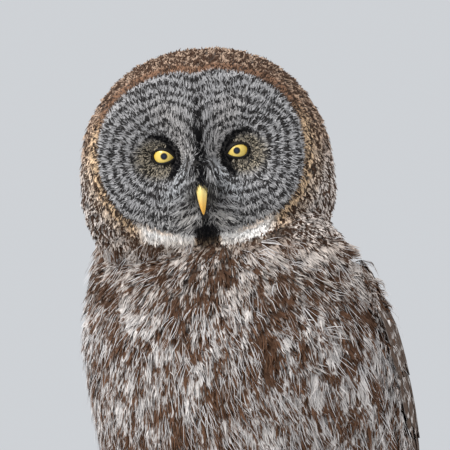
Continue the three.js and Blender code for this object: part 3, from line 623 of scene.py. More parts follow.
def mark_chin(at):
    """Under the chin: a black bib between two white wedges that end in buff."""
    chin = at.head * step(at.forward, 30, 44)
    under = chin * step(at.aside, 70, 50) * step(at.share, 1.13, 1.17) * step(at.share, 1.32, 1.22)
    at.lay(under * step(at.up, -30, -45), UNDER_CHIN, pale_most=0.8)
    wedge = chin * step(at.aside, 8, 12) * step(at.aside, 58, 44) * step(at.share, 0.95, 0.98)
    wedge = wedge * step(at.up, -26, -36) * step(at.share, 1.17, 1.12)
    at.lay(wedge, CLEAN_WHITE, WEDGE_BROWN, lerp(-0.15, 0.55, step(at.share, 1.06, 1.14)))
    at.lay(wedge * step(at.share, 1.02, 0.96) * step(at.aside, 18, 30), ORANGE, pale_most=0.5)
    bib = chin * step(at.up, -34, -42) * step(at.up, -64, -54) * step(at.aside, 11, 7)
    at.lay(bib, BIB_BLACK, BLACK)


def markings(points):
    """Pale tone, dark tone and share of dark of the feathers that grow at each point."""
    at = Tones(points)
    front = at.head * step(at.forward, 22, 40)
    face = front * step(at.share, 1.01, 0.985)
    mark_body(at)
    mark_head(at)
    mark_rim(at, front)
    mark_eyes(at, face)
    mark_middle(at, face)
    mark_crescents(at, face)
    mark_chin(at)
    return at.pale, at.dark, at.amount


def ring_of(points):
    """Distance from the nearer eye over the face, in millimetres, which the rings follow."""
    out, _, up = in_head(points)
    return np.hypot(np.abs(out) - EYE_OUT / MM, up - EYE_UP / MM)


def give_values(piece, **values):
    """Puts one number or one colour at each point of a piece, under a name."""
    for name, given in values.items():
        if given.ndim == 2:
            colours = np.concatenate([given, np.ones((len(given), 1))], 1).astype(np.float32)
            made = piece.data.attributes.new(name, "FLOAT_COLOR", "POINT")
            made.data.foreach_set("color", colours.ravel())
        else:
            made = piece.data.attributes.new(name, "FLOAT", "POINT")
            made.data.foreach_set("value", given.astype(np.float32))


def give_map(piece, name, places, corners=None):
    """A UV map from one place for each point of a piece, or for the points that corners names."""
    if corners is None:
        corners = np.empty(len(piece.data.loops), np.int32)
        piece.data.loops.foreach_get("vertex_index", corners)
    made = piece.data.uv_layers.new(name=name)
    made.uv.foreach_set("vector", places[corners].astype(np.float32).ravel())


def skin_finish():
    """Down under the feathers, with the same markings as they have."""
    down = Finish("down")
    ring = down.attribute("ring")
    blur = down.noise(down.place(), 160, 2)
    rings = ((ring + 7 * (blur - 0.5)) * (2 * math.pi / 6)).wave().between(-0.6, 0.8)
    fine = down.noise(down.place((1, 1, 0.45)), 240, 3)
    shade = (fine + 0.35 * (down.attribute("amount") - 0.5) + 0.2 * (rings - 0.5)).between(0.36, 0.6)
    colour = down.mix(shade, down.attribute("pale", "Color"), down.attribute("dark", "Color"))
    colour = down.mix(0.55, colour, (0.03, 0.026, 0.024))
    normal = down.bump(down.noise(down.place(), 900, 2), 0.0012, 0.6)
    return down.finish(Base_Color=colour, Roughness=0.95, Normal=normal)


pale, dark, amount = markings(skin_points)
give_values(skin, pale=pale, dark=dark, amount=amount, ring=ring_of(skin_points))
skin.data.materials.clear()
skin.data.materials.append(skin_finish())
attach(skin, "root")
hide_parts("head", "neck", "torso", "leg_left", "leg_right", "foot_left", "foot_right")

# The feathers. A contour feather is a fan of narrow barb locks from one root, loose at the tip. Each follows
# the skin under it, rises over the roots of the next ones, and lies along the plumage's own direction.
ROOT_DEPTH = 0.0006  # how deep under the skin a feather starts
TRIES_PER_PLACE, CLOSEST = 3.2, 0.82  # places drawn for each one wanted, and how near two may be in spacings
LOCK_EDGE, ROOT_PATCH = 0.08, 0.003  # half a lock on its feather's map, and a feather on the coat's map


def unit(vectors):
    return vectors / np.maximum(np.linalg.norm(vectors, axis=-1, keepdims=True), 1e-12)


def spread(keep, spacing, seed):
    """Points and normals of even places on the skin, about spacing metres apart, where keep(points) gives
    more than a draw."""
    draw = np.random.default_rng(seed)
    corners = skin_points[skin_triangles]
    wanted = keep(corners.mean(1)) > 0
    triangles, corners = skin_triangles[wanted], corners[wanted]
    sides = np.cross(corners[:, 1] - corners[:, 0], corners[:, 2] - corners[:, 0])
    area = np.linalg.norm(sides, axis=1) / 2
    count = int(TRIES_PER_PLACE * area.sum() / spacing**2)
    chosen = draw.choice(len(triangles), count, p=area / area.sum())
    a, b = draw.random((2, count))
    flip = a + b > 1
    a, b = np.where(flip, 1 - a, a), np.where(flip, 1 - b, b)
    weights = np.stack([1 - a - b, a, b], 1)[..., None]
    points = (corners[chosen] * weights).sum(1)
    normals = unit((skin_normals[triangles[chosen]] * weights).sum(1))
    kept = keep(points) > draw.random(count)
    points, normals = points[kept], normals[kept]
    tree = KDTree(len(points))
    places = points.tolist()
    for i, place in enumerate(places):
        tree.insert(place, i)
    tree.balance()
    free = np.ones(len(points), bool)
    for i, place in enumerate(places):
        if free[i]:
            for _, other, _ in tree.find_range(place, CLOSEST * spacing):
                free[other] = other == i
    return points[free], normals[free]


def on_skin(points, tree):
    """The nearest places on a surface to some points, and the way out of it there."""
    found = [tree.find_nearest(p) for p in points.tolist()]
    return np.array([f[0] for f in found]), np.array([f[1] for f in found])


def along_skin(vectors, normals):
    """Vectors laid flat on the skin."""
    return unit(vectors - (vectors * normals).sum(-1, keepdims=True) * normals)


def turned(vectors, normals, angles):
    """Vectors on the skin turned about its normals."""
    sideways = np.cross(normals, vectors)
    return vectors * np.cos(angles)[:, None] + sideways * np.sin(angles)[:, None]


def body_lie(points):
    """Feathers of the body point down, and part to both sides from a line down the breast."""
    z = over_feet(points)[:, 2]
    angle = body_angle(points)
    parting = math.radians(24) * step(z, 200, 292)
    away = np.abs(angle - parting)
    sideways = np.stack([np.cos(angle), np.sin(angle), 0 * angle], 1)
    lean = np.sign(angle - parting) * step(away, 0.0, 0.45) * step(away, 1.9, 1.0)
    lean = lean * lerp(0.35, 0.75, step(z, 190, 280))
    return np.array([0, 0, -1.0]) + sideways * lean[:, None]


def head_lie(points):
    """Feathers behind the face sweep back over the crown, and back and down at the sides."""
    out, forward, _ = in_head(points)
    down = -0.9 * step(np.abs(out), 20, 85) - 0.9 * step(forward, 0, -60)
    return np.stack([0 * out, np.full(len(out), -1.0), down], 1) @ HEAD_AXES.T


def face_lie(points):
    """Feathers of the face radiate from each eye, and from the inner corner of each eye near the bill."""
    out, forward, up = in_head(points)
    a, side = np.abs(out), np.sign(out)
    from_eye = unit(np.stack([a - EYE_OUT / MM, up - EYE_UP / MM], 1))
    from_corner = unit(np.stack([np.maximum(a - 11, -3), up - 6], 1))
    near = step(a, 23, 13)[:, None]
    flat = lerp(from_eye, from_corner, near)
    return np.stack([side * flat[:, 0], 0 * out, flat[:, 1]], 1) @ HEAD_AXES.T


def lie_of(points, normals):
    """Which way a feather that grows at each point lies."""
    out, forward, up = in_head(points)
    head = head_weight(points)
    face = head * step(rim_share(out, up), 1.0, 0.985) * step(forward, 30, 44)
    lie = lerp(body_lie(points), head_lie(points), head[:, None])
    return along_skin(lerp(lie, face_lie(points), face[:, None]), normals)


def chart_of(points, chart):
    """Where feathers' roots are on an unwrap of the head, the face, the body or the legs."""
    out, forward, up = in_head(points)
    if chart == "head":
        angle = np.arctan2(up, out)
        reach = np.arctan2(np.hypot(out, up), forward) / math.pi
        return 0.5 + 0.49 * reach[:, None] * np.stack([np.cos(angle), np.sin(angle)], 1)
    if chart == "face":
        return 0.5 + np.stack([out, up - RIM_MIDDLE], 1) / 180
    x, y, z = over_feet(points).T
    low, tall, u = -10, 340, 0.5 + 0.97 * body_angle(points) / (2 * math.pi)
    if chart == "legs":
        side = np.sign(x)
        low, tall = -45, 150
        u = 0.5 + side * (0.25 + 0.22 * np.arctan2(x - side * FOOT_OUT, -y) / math.pi)
    return np.stack([u, 0.02 + 0.96 * (z - low) / tall], 1)


def lock_faces(count, top):
    """Triangles of each lock, whose points are one edge, the other edge and then the tip."""
    pattern = []
    for i in range(top - 1):
        pattern += [(i, top + i, top + i + 1), (i, top + i + 1, i + 1)]
    pattern.append((top - 1, 2 * top - 1, 2 * top))
    first = (np.arange(count) * (2 * top + 1))[:, None, None]
    return (np.array(pattern)[None] + first).reshape(-1, 3)


def locks(name, line, across, half, u, v, roots, chance, barb, finish, chart):
    """A coat piece of narrow tapered locks. line and across are (lock, row, 3), half and v are (lock, row),
    and u, roots, chance and barb belong to each lock."""
    count, rows = half.shape
    sideways = across[:, :-1] * half[:, :-1, None]
    points = np.concatenate([line[:, :-1] - sideways, line[:, :-1] + sideways, line[:, -1:]], 1)
    each = points.shape[1]
    points = points.reshape(-1, 3)
    piece = piece_from(name, points, [lock_faces(count, rows - 1)], finish)
    seen = lerp(roots, line[:, -1], 0.5)
    pale, dark, amount = (np.repeat(value, each, 0) for value in markings(seen))
    chance, barb = np.repeat(chance, each), np.repeat(barb, each)
    give_values(piece, pale=pale, dark=dark, amount=amount, chance=chance, barb=barb)
    if chart == "face":
        give_values(piece, ring=ring_of(points))
    u_all = np.concatenate([u[:, :-1] - LOCK_EDGE, u[:, :-1] + LOCK_EDGE, u[:, -1:]], 1).ravel()
    v_all = np.concatenate([v[:, :-1], v[:, :-1], v[:, -1:]], 1).ravel()
    feather = np.stack([u_all, v_all], 1)
    give_map(piece, "Feather", feather)
    give_map(piece, "OFBake", np.repeat(chart_of(roots, chart), each, 0) + ROOT_PATCH * (feather - 0.5))
    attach(piece, "root")
    return piece
def laid_on(tree, points, normals, ways, t):
    """The line of each feather along the skin, through its root, its middle and its end, and the way up."""
    middle, middle_normal = on_skin(points + ways / 2, tree)
    end, end_normal = on_skin(points + ways, tree)
    root, middle, end, normal, middle_normal, end_normal = (
        each[:, None, None] for each in (points, middle, end, normals, middle_normal, end_normal)
    )
    t = t[..., None]
    line = (1 - t) * (1 - 2 * t) * root + 4 * t * (1 - t) * middle + t * (2 * t - 1) * end
    up = unit(lerp(normal, end_normal, t))
    return line, unit(up + 0.5 * (middle_normal - (normal + end_normal) / 2))


def feathers(name, places, finish, chart, seed, length, width, lift, barbs, rows=4, splay=0.22, lie=None,
             tree=skin_tree, thin=1.0):
    """Contour feathers at places on the skin. length, width and lift are in millimetres, one for all
    feathers or one for each."""
    points, normals = places
    draw = np.random.default_rng(seed)
    count = len(points)
    length, width, lift = (np.broadcast_to(x, count) * MM for x in (length, width, lift))
    length = length * draw.uniform(0.8, 1.2, count)
    lift = lift * draw.uniform(0.6, 1.25, count)
    lie = lie_of(points, normals) if lie is None else along_skin(lie, normals)
    lie = turned(lie, normals, draw.normal(0, splay, count))
    u = np.linspace(-1, 1, barbs)[None] + draw.normal(0, 0.12, (count, barbs))
    reach = (1 - 0.22 * u * u) * draw.uniform(0.8, 1.12, (count, barbs))
    t = np.linspace(0, 1, rows)[None, None] * reach[..., None]
    line, up = laid_on(tree, points, normals, lie * length[:, None], t)
    side = np.cross(lie[:, None, None], up)
    fan = 0.18 + 0.82 * step(t, 0, 0.6) - 0.15 * t**3
    line = line + side * (u[..., None] * fan * width[:, None, None])[..., None] / 2
    rise = t**0.75 * (1 - 0.3 * (u * u)[..., None] * t) + draw.normal(0, 0.09, (count, barbs, 1)) * t
    line = line + up * (lift[:, None, None] * rise - ROOT_DEPTH)[..., None]
    tip_turn = draw.normal(0, 0.12, (count, barbs))[..., None] * t**2 * length[:, None, None]
    line = line + side * tip_turn[..., None]
    half = (width / barbs)[:, None, None] * (0.85 - 0.6 * t**2)
    half = half * draw.uniform(0.7, 1.3, (count, barbs, 1)) * thin
    roll = draw.normal(0, 0.35, (count, barbs, 1, 1))
    across = np.broadcast_to(unit(side + up * roll), line.shape)
    u = np.broadcast_to(0.5 + 0.42 * u[..., None], half.shape)
    flat = (count * barbs, rows)
    return locks(
        name, line.reshape(*flat, 3), across.reshape(*flat, 3), half.reshape(flat), u.reshape(flat),
        t.reshape(flat), np.repeat(points, barbs, 0), np.repeat(draw.random(count), barbs),
        draw.random(count * barbs), finish, chart,
    )


def plumage_finish(name, large, small, fade, soft, patchy):
    """Soft loose feathers: dark streaks and blotches of three sizes that run on from feather to feather,
    ragged along the barbs. fade is how much paler a feather is at its tip, soft how soft the marks are, and
    patchy how far the largest patches count."""
    coat = Finish(name)
    barb, amount, along = coat.attribute("barb"), coat.attribute("amount"), coat.on_feather(1)
    streak = coat.noise(coat.place((1, 1, 0.4)), large, 2, 0.5)
    blotch = coat.noise(coat.place((1, 1, 0.62)), small, 2, 0.4)
    region = coat.noise(coat.place((1, 1, 0.7)), large * 0.34, 1)
    mark = (streak - 0.5) * 2.8 + (blotch - 0.5) * 2.0 + (region - 0.5) * patchy
    mark = mark + (barb - 0.5) * 0.8 + (amount - 0.5) * 1.7
    mark = mark - along * fade + fade * 0.5
    warmth = coat.noise(coat.place(), 1.6 * small, 2)
    brown = coat.mix(warmth.between(0.5, 0.8) * 0.5, coat.attribute("dark", "Color"), (0.22, 0.135, 0.09))
    colour = coat.mix(mark.between(-1.1 * soft, 0.9 * soft), coat.attribute("pale", "Color"), brown)
    # Each barb keeps its own tone, and every feather is painted darker towards its root: painted shade where
    # it lies under the feathers above it.
    colour = coat.shaded(colour, (barb * 0.62 + 0.62) * (0.5 + 0.5 * along.between(0.0, 0.6)))
    return coat.finish(Base_Color=colour, Roughness=0.8, Specular_IOR_Level=0.08)


plumage = plumage_finish("plumage", large=92, small=240, fade=0.3, soft=0.25, patchy=1.5)


def off_face(points):
    """1 away from the disc of the face and the bill, 0 on them."""
    out, forward, up = in_head(points)
    return 1 - head_weight(points) * step(forward, 30, 40) * step(rim_share(out, up), 1.0, 0.98)


def clear_of_wings(points):
    place = over_feet(points)
    return wing_bed(place[:, 2], body_angle(points)) < 9


def flank_surface():
    """The skin with the beds of the wings filled, so that feathers at their edges lie over the wings."""
    x, y, z = over_feet(skin_points).T
    middle, width, front, back = stations(BODY, z)
    across, rearward = x / width, (y - middle) / np.where(y < middle, front, back)
    angle = np.arctan2(across, -rearward)
    bed = wing_bed(z, angle)
    over = (bed > 0.3) & (np.hypot(across, rearward) > 0.6)
    filled = body_point(z, angle, -BODY_DEPTH + 0.55 * bed) * MM + OWL_AT
    points = np.where(over[:, None], filled, skin_points)
    return BVHTree.FromPolygons(points.tolist(), skin_triangles.tolist())


flank_tree = flank_surface()


def keep_breast(points):
    z = over_feet(points)[:, 2]
    front = np.abs(np.degrees(body_angle(points))) < 112
    return front * (z > 56) * (z < 300) * clear_of_wings(points) * off_face(points)


def keep_back(points):
    z = over_feet(points)[:, 2]
    behind = np.abs(np.degrees(body_angle(points))) >= 112
    return behind * (z > 56) * (z < 296) * clear_of_wings(points)


def keep_belly(points):
    z = over_feet(points)[:, 2]
    return (z <= 56) * (z > 3) * clear_of_wings(points)


for part, low, high in (("upper", 232, 300), ("middle", 152, 232), ("lower", 56, 152)):
    places = spread(keep_breast, spacing=0.0052, seed=101)
    z = over_feet(places[0])[:, 2]
    places = [each[(z > low) & (z <= high)] for each in places]
    downward = step(over_feet(places[0])[:, 2], 270, 170)
    coat = feathers(
        "coat_breast_" + part, places, plumage, "body", 200 + low, length=lerp(15, 25, downward),
        width=lerp(8, 10, downward), lift=6, barbs=10, tree=flank_tree,
    )


def wisp_finish():
    """Long loose white barbs, browner towards their roots."""
    wisp = Finish("wisp")
    blotch = wisp.noise(wisp.place(), 60, 2)
    share = (blotch + 0.3 * wisp.attribute("barb") - 0.25 * wisp.on_feather(1)).between(0.5, 0.75)
    colour = wisp.mix(share, (0.58, 0.56, 0.56), (0.22, 0.16, 0.13))
    return wisp.finish(Base_Color=colour, Roughness=0.75)


places = spread(keep_breast, spacing=0.013, seed=121)
long = lerp(20, 34, step(over_feet(places[0])[:, 2], 280, 200))
coat_wisps = feathers(
    "coat_wisps", places, wisp_finish(), "body", 221, length=long, width=17, lift=8, barbs=7, rows=7,
    splay=0.25, tree=flank_tree, thin=0.13,
)
places = spread(keep_back, spacing=0.0085, seed=102)
coat_back = feathers("coat_back", places, plumage, "body", 202, length=24, width=13, lift=6, barbs=10)
places = spread(keep_belly, spacing=0.0075, seed=103)
coat_belly = feathers("coat_belly", places, plumage, "legs", 203, length=24, width=11, lift=7, barbs=9)


# The head's feathers: small and close over the crown, cheeks and nape, and closer still in the ruff, the
# band of stiff curved feathers that rims the face.
def in_ruff(points):
    out, forward, up = in_head(points)
    share = rim_share(out, up)
    return head_weight(points) * step(forward, 20, 26) * (share > 0.975) * (share < 1.2)


def in_chin(points):
    out, forward, up = in_head(points)
    share = rim_share(out, up)
    return (up < -30) * (np.abs(out) < 60) * (forward > 26) * (share > 0.95) * (share < 1.12)


def keep_head(points):
    z = over_feet(points)[:, 2]
    return (z > 292) * off_face(points) * (1 - in_ruff(points))


def keep_ruff(points):
    return in_ruff(points) * (1 - in_chin(points))


crown = plumage_finish("crown", large=230, small=430, fade=0.2, soft=0.12, patchy=0.6)
places = spread(keep_head, spacing=0.0040, seed=104)
coat_head = feathers("coat_head", places, crown, "head", 204, length=10, width=5.2, lift=3.6, barbs=6)
places = spread(keep_ruff, spacing=0.0024, seed=105)
coat_ruff = feathers("coat_ruff", places, crown, "head", 205, length=6.5, width=2.6, lift=2.4, barbs=4)
places = spread(in_chin, spacing=0.0026, seed=106)
chin_lie = np.array([0, 0.25, -1.0]) + in_head(places[0])[0][:, None] * [0.006, 0, 0]
coat_chin = feathers(
    "coat_chin", places, crown, "head", 206, length=8.5, width=3.0, lift=3.2, barbs=5,
    lie=chin_lie @ HEAD_AXES.T,
)


# The face: fine hair-like feathers that radiate from the eyes, barred so that the bars line up in rings.
# Longer bristles stand between the eyes.
RING_PITCH = 7.6


def face_finish():
    coat = Finish("face")
    barb, ring, amount = (coat.attribute(key) for key in ("barb", "ring", "amount"))
    along = coat.on_feather(1)
    wander = coat.noise(coat.place(), 55, 2)
    rings = ((ring + 13 * (wander - 0.5)) * (2 * math.pi / RING_PITCH)).wave() * ring.between(17, 25)
    fine = coat.noise(coat.place(), 420, 2)
    streak = coat.noise(coat.vector(along * 2.2, barb * 40, coat.attribute("chance") * 70), 1, 2)
    mark = rings * 0.3 + (barb - 0.5) * 1.1 + (fine - 0.5) * 1.2 + (streak - 0.5) * 1.6
    mark = mark + (amount - 0.5) * 1.5 - along * 0.6 + 0.3
    pale, dark = coat.attribute("pale", "Color"), coat.attribute("dark", "Color")
    colour = coat.mix(mark.between(-0.16, 0.16), pale, dark)
    # Each barb keeps its own tone, and every feather is painted darker towards its root: painted shade where
    # it lies under the feathers above it.
    colour = coat.shaded(colour, (barb * 0.6 + 0.72) * (0.5 + 0.5 * along.between(0.0, 0.6)))
    return coat.finish(Base_Color=colour, Roughness=0.8, Specular_IOR_Level=0.08)


def on_face(points):
    """1 on the disc of the face, off the eyes and the bill."""
    out, forward, up = in_head(points)
    bill = (np.abs(out) < 4) * (up > -34) * (up < -9)
    disc = (rim_share(out, up) < 0.995) * (forward > 40) * (head_weight(points) > 0.5)
    return disc * (ring_of(points) > 12.5) * (1 - bill)


def between_eyes(points):
    out, _, up = in_head(points)
    reach = lerp(9, 26, np.clip(np.abs(up - 8) / 34, 0, 1))
    fan = (np.abs(out) < reach) * (up > -16) * (up < 52)
    return on_face(points) * fan * (ring_of(points) > 17)


face_coat = face_finish()
places = spread(on_face, spacing=0.00155, seed=107)
eye_gap = ring_of(places[0])
share = rim_share(*in_head(places[0])[[0, 2]])
coat_face = feathers(
    "coat_face", places, face_coat, "face", 207, width=1.5, barbs=3, splay=0.3,
    length=lerp(3.2, 7.8, step(eye_gap, 10, 27)) * lerp(1, 0.75, step(share, 0.85, 0.98)),
    lift=lerp(1.3, 2.6, step(eye_gap, 10, 24)),
)
places = spread(between_eyes, spacing=0.0026, seed=108)
coat_bristles = feathers(
    "coat_bristles", places, face_coat, "face", 208, length=11.5, width=1.5, lift=3.4, barbs=3, splay=0.16,
)

# Round each eye the feathers are tiny and start at the very edge of the lids, over the eyeball's bulge: black
# on the side of the bill, flecked olive elsewhere.
LID_BALL = 12.95  # radius of the ball that the lids and these feathers lie over
SURROUND_REACH, SURROUND_STEPS = 17, 68  # how far the lifted skin reaches from the eye, and its grid
SURROUND_PITCH, SURROUND_EDGE = 1.15, 14.5
SIDES = ((1, "left"), (-1, "right"))


def seen_ahead(tree, out, up):
    """Where a surface of the head is met from straight ahead of the face, and the way out of it there."""
    starts = from_head(np.stack([out, np.full(len(out), 130.0), up], 1) * MM)
    found = [tree.ray_cast(start, -HEAD_AXES[:, 1]) for start in starts.tolist()]
    return np.array([f[0] for f in found]), np.array([f[1] for f in found])


def grid_quads(rows, columns):
    """Faces of a sheet of points, row by row."""
    i, j = np.meshgrid(np.arange(rows - 1), np.arange(columns - 1), indexing="ij")
    a = (i * columns + j).ravel()
    return np.stack([a, a + columns, a + columns + 1, a + 1], 1)


def eye_surround(side):
    """The skin round one eye, lifted over the ball where that stands proud."""
    grid = np.linspace(-SURROUND_REACH, SURROUND_REACH, SURROUND_STEPS + 1)
    across, rise = (axis.ravel() for axis in np.meshgrid(grid, grid, indexing="ij"))
    out, up = side * EYE_OUT / MM + across, EYE_UP / MM + rise
    skin_there = to_head(seen_ahead(skin_tree, out, up)[0])[:, 1] / MM
    ball = EYE_FORWARD / MM + np.sqrt(np.maximum(LID_BALL**2 - across**2 - rise**2, 0))
    points = from_head(np.stack([out, np.maximum(skin_there, ball), up], 1) * MM)
    quads = grid_quads(len(grid), len(grid))
    triangles = np.concatenate([quads[:, [0, 1, 2]], quads[:, [0, 2, 3]]])
    return BVHTree.FromPolygons(points.tolist(), triangles.tolist())


def round_lids(draw):
    """Places in rows round the lids' opening, as out and up from the eye's middle."""
    rows = []
    for shell in np.arange(1.0, 2.35, 0.14):
        count = int(2 * math.pi * 7.5 * shell / SURROUND_PITCH)
        angle = circle(count) + draw.uniform(0, 1)
        reach = shell + draw.uniform(-0.06, 0.06, count)
        wide, tall = (lerp(half, 7.6, np.clip((shell - 1) / 1.2, 0, 1)) for half in LID_EDGE)
        rows.append(np.stack([reach * wide * np.cos(angle), reach * tall * np.sin(angle)], 1))
    place = np.concatenate(rows)
    return place[np.hypot(*place.T) < SURROUND_EDGE]


for side, name in SIDES:
    place = round_lids(np.random.default_rng(81 + side))
    surround_tree = eye_surround(side)
    at, normal = seen_ahead(surround_tree, side * EYE_OUT / MM + place[:, 0], EYE_UP / MM + place[:, 1])
    normal = normal * np.sign((normal @ HEAD_AXES)[:, 1:2])
    outward = np.stack([place[:, 0], 0 * place[:, 0], place[:, 1]], 1) @ HEAD_AXES.T
    surround = feathers(
        "coat_eye_" + name, (at, normal), face_coat, "face", 210 + side, length=3.8, width=1.3, lift=1.6,
        barbs=3, splay=0.25, lie=outward, tree=surround_tree,
    )

# Stiff bristles fall over the root of the bill, and longer ones sweep aside from it like a moustache. Like
# all feathers they grow from the skin.
def round_bill(points):
    out, forward, up = in_head(points)
    return (np.abs(out) < 7.5) * (up > -12) * (up < 7) * (forward > 45)


def beside_bill(points):
    out, forward, up = in_head(points)
    return (np.abs(out) > 3) * (np.abs(out) < 17) * (up > -40) * (up < -14) * (forward > 45)


places = spread(round_bill, spacing=0.0013, seed=111)
out = in_head(places[0])[0]
down = np.stack([0.05 * out, 0.7 + 0 * out, -1.0 + 0 * out], 1) @ HEAD_AXES.T
coat_cere = feathers(
    "coat_cere", places, face_coat, "face", 211, length=15, width=1.6, lift=10.5, barbs=3, splay=0.12,
    lie=down, rows=6, thin=0.8,
)
places = spread(beside_bill, spacing=0.0024, seed=112)
out = in_head(places[0])[0]
aside = np.stack([np.sign(out) * (0.5 + 0.05 * np.abs(out)), 0.3 + 0 * out, -0.75 + 0 * out], 1) @ HEAD_AXES.T
coat_moustache = feathers(
    "coat_moustache", places, face_coat, "face", 212, length=13, width=2.2, lift=4.5, barbs=4, splay=0.2,
    lie=aside, rows=6,
)


# Each eye is a wet ball with a bright yellow iris round a small dark pupil, seen through the clear cornea
# that bulges in front of it. It sits in its socket behind the lids.
EYE_RADIUS, CORNEA, PUPIL = 12.0, 0.7, 2.35
EYE_SIDES = 64


def eye_point(off_axis, angle, radius):
    """A point on a ball round the eye's middle, in its own frame: out, forward, up."""
    forward = np.sqrt(np.maximum(radius**2 - off_axis**2, 0))
    shape = np.broadcast_arrays(off_axis * np.cos(angle), forward, off_axis * np.sin(angle))
    return np.stack(shape, -1)


def eye_at(side):
    return np.array([side * EYE_OUT, EYE_FORWARD, EYE_UP]) / MM


def eye_finish():
    ball = Finish("eye")
    gap = ball.attribute("off_axis")
    streaks = ball.noise(ball.place(), 1500, 3)
    iris = ball.mix(gap.between(5.0, 8.2), (0.72, 0.54, 0.14), (0.64, 0.42, 0.05))
    iris = ball.mix(streaks.between(0.45, 0.7) * 0.35, iris, (0.72, 0.47, 0.06))
    ring = (gap - PUPIL).size().between(0.7, 0.1)
    pupil = ball.mix(gap.between(0.3, 2.0), (0.014, 0.022, 0.045), (0.004, 0.007, 0.016))
    colour = ball.mix(gap.between(PUPIL + 0.12, PUPIL - 0.12), iris, pupil)
    colour = ball.mix(ring * 0.75, colour, (0.004, 0.006, 0.012))
    return ball.finish(
        Base_Color=colour, Roughness=0.35, Specular_IOR_Level=0.15, Coat_Weight=0.35, Coat_Roughness=0.04,
    )


eye_coat = eye_finish()
for side, name in SIDES:
    off_axis = EYE_RADIUS * np.sin(np.linspace(0.001, math.pi / 2, 48))
    front = eye_point(off_axis[:, None], circle(EYE_SIDES), EYE_RADIUS)
    front[..., 1] += CORNEA * (1 - np.clip(off_axis / 8.5, 0, 1) ** 2)[:, None] ** 2
    back = eye_point(off_axis[::-4, None], circle(EYE_SIDES), EYE_RADIUS) * [1, -1, 1]
    points, faces = loft(np.concatenate([front, back])[::-1])
    ball = piece_from("eye_" + name, from_head((points + eye_at(side)) * MM), faces, eye_coat)
    give_values(ball, off_axis=np.where(points[:, 1] > 0, np.hypot(points[:, 0], points[:, 2]), EYE_RADIUS))
    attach(ball, "root")
    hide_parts("eye_" + name)

# The lids are bare black skin that rolls over the ball, round an almond opening, round at its outer end and
# pointed at the bill. Each side of the opening is a curve: start, bend, end
LID_CURVES = [
    ((-7.7, -1.65), (-3.5, 4.6), (2.6, 4.8)), ((2.6, 4.8), (7.6, 5), (8.25, 1.2)),
    ((8.25, 1.2), (8.2, -4.6), (2.6, -4.95)), ((2.6, -4.95), (-3.6, -5), (-7.7, -1.65)),
]
# From the edge on the ball outwards: how far out across the lid, and the radius of the ball it lies on
LID_ROLL = [
    (-0.5, 12.0), (0, 12.7), (0.25, 13.1), (0.6, 13.3), (1.1, 13.25), (1.8, 12.9), (3.2, 12.45), (4.6, 12.2),
    (5.6, 12.1),
]


def bent(start, bend, end, t):
    """Points on a curve that leaves its start towards the bend and comes to its end from there."""
    return (1 - t) ** 2 * np.array(start) + 2 * t * (1 - t) * np.array(bend) + t**2 * np.array(end)


def lid_finish():
    lid = Finish("lid")
    grain = lid.noise(lid.place(), 1800, 2)
    colour = lid.mix(grain, (0.004, 0.004, 0.004), (0.016, 0.014, 0.013))
    normal = lid.bump(grain, 0.0003, 0.5)
    return lid.finish(Base_Color=colour, Roughness=0.5, Specular_IOR_Level=0.15, Normal=normal)


t = np.linspace(0, 1, 14, endpoint=False)[:, None]
edge = np.concatenate([bent(*curve, t) for curve in LID_CURVES])
tangent = np.roll(edge, -1, 0) - np.roll(edge, 1, 0)
outward = unit(np.stack([-tangent[:, 1], tangent[:, 0]], 1))
for side, name in SIDES:
    rings = []
    for away, radius in LID_ROLL:
        across, rise = (edge + away * outward).T
        forward = np.sqrt(np.maximum(radius**2 - across**2 - rise**2, 4.0))
        rings.append(np.stack([side * across, forward, rise], 1))
    points = from_head((np.concatenate(rings) + eye_at(side)) * MM)
    lids = piece_from("lids_" + name, points, [band_quads(len(rings), len(edge))[:, ::-side]], lid_finish())
    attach(lids, "root")


# The bill is smooth yellow horn, paler above and golden at the tip. The upper half hooks over the lower one,
# and bristles hide its root. Each half is a bent cone: forward and up of root, bend and tip, then half widths
BILL = {
    "upper": {"root": (57, -6), "bend": (84, -8), "tip": (73.5, -32.5), "half": (4.8, 5.4)},
    "lower": {"root": (56, -15), "bend": (69, -15.5), "tip": (69.5, -26.5), "half": (3.9, 2.3)},
}
BILL_ROWS, BILL_SIDES = 40, 28
BRISTLE_ROWS, BRISTLES_PER_ROW = [3, 5, 7, 9, 11, 13], 14


def bill_finish():
    horn = Finish("bill")
    along = horn.attribute("along")
    grain = horn.noise(horn.place((1, 1, 0.25)), 900, 2)
    colour = horn.mix(along.between(0.55, 0.97), (0.80, 0.63, 0.22), (0.80, 0.40, 0.04))
    colour = horn.mix(along.between(0.35, 0.0) * 0.6, colour, (0.42, 0.36, 0.15))
    colour = horn.mix(grain.between(0.45, 0.75) * 0.3, colour, (0.55, 0.36, 0.10))
    return horn.finish(Base_Color=colour, Roughness=0.38, Normal=horn.bump(grain, 0.0002, 0.4))


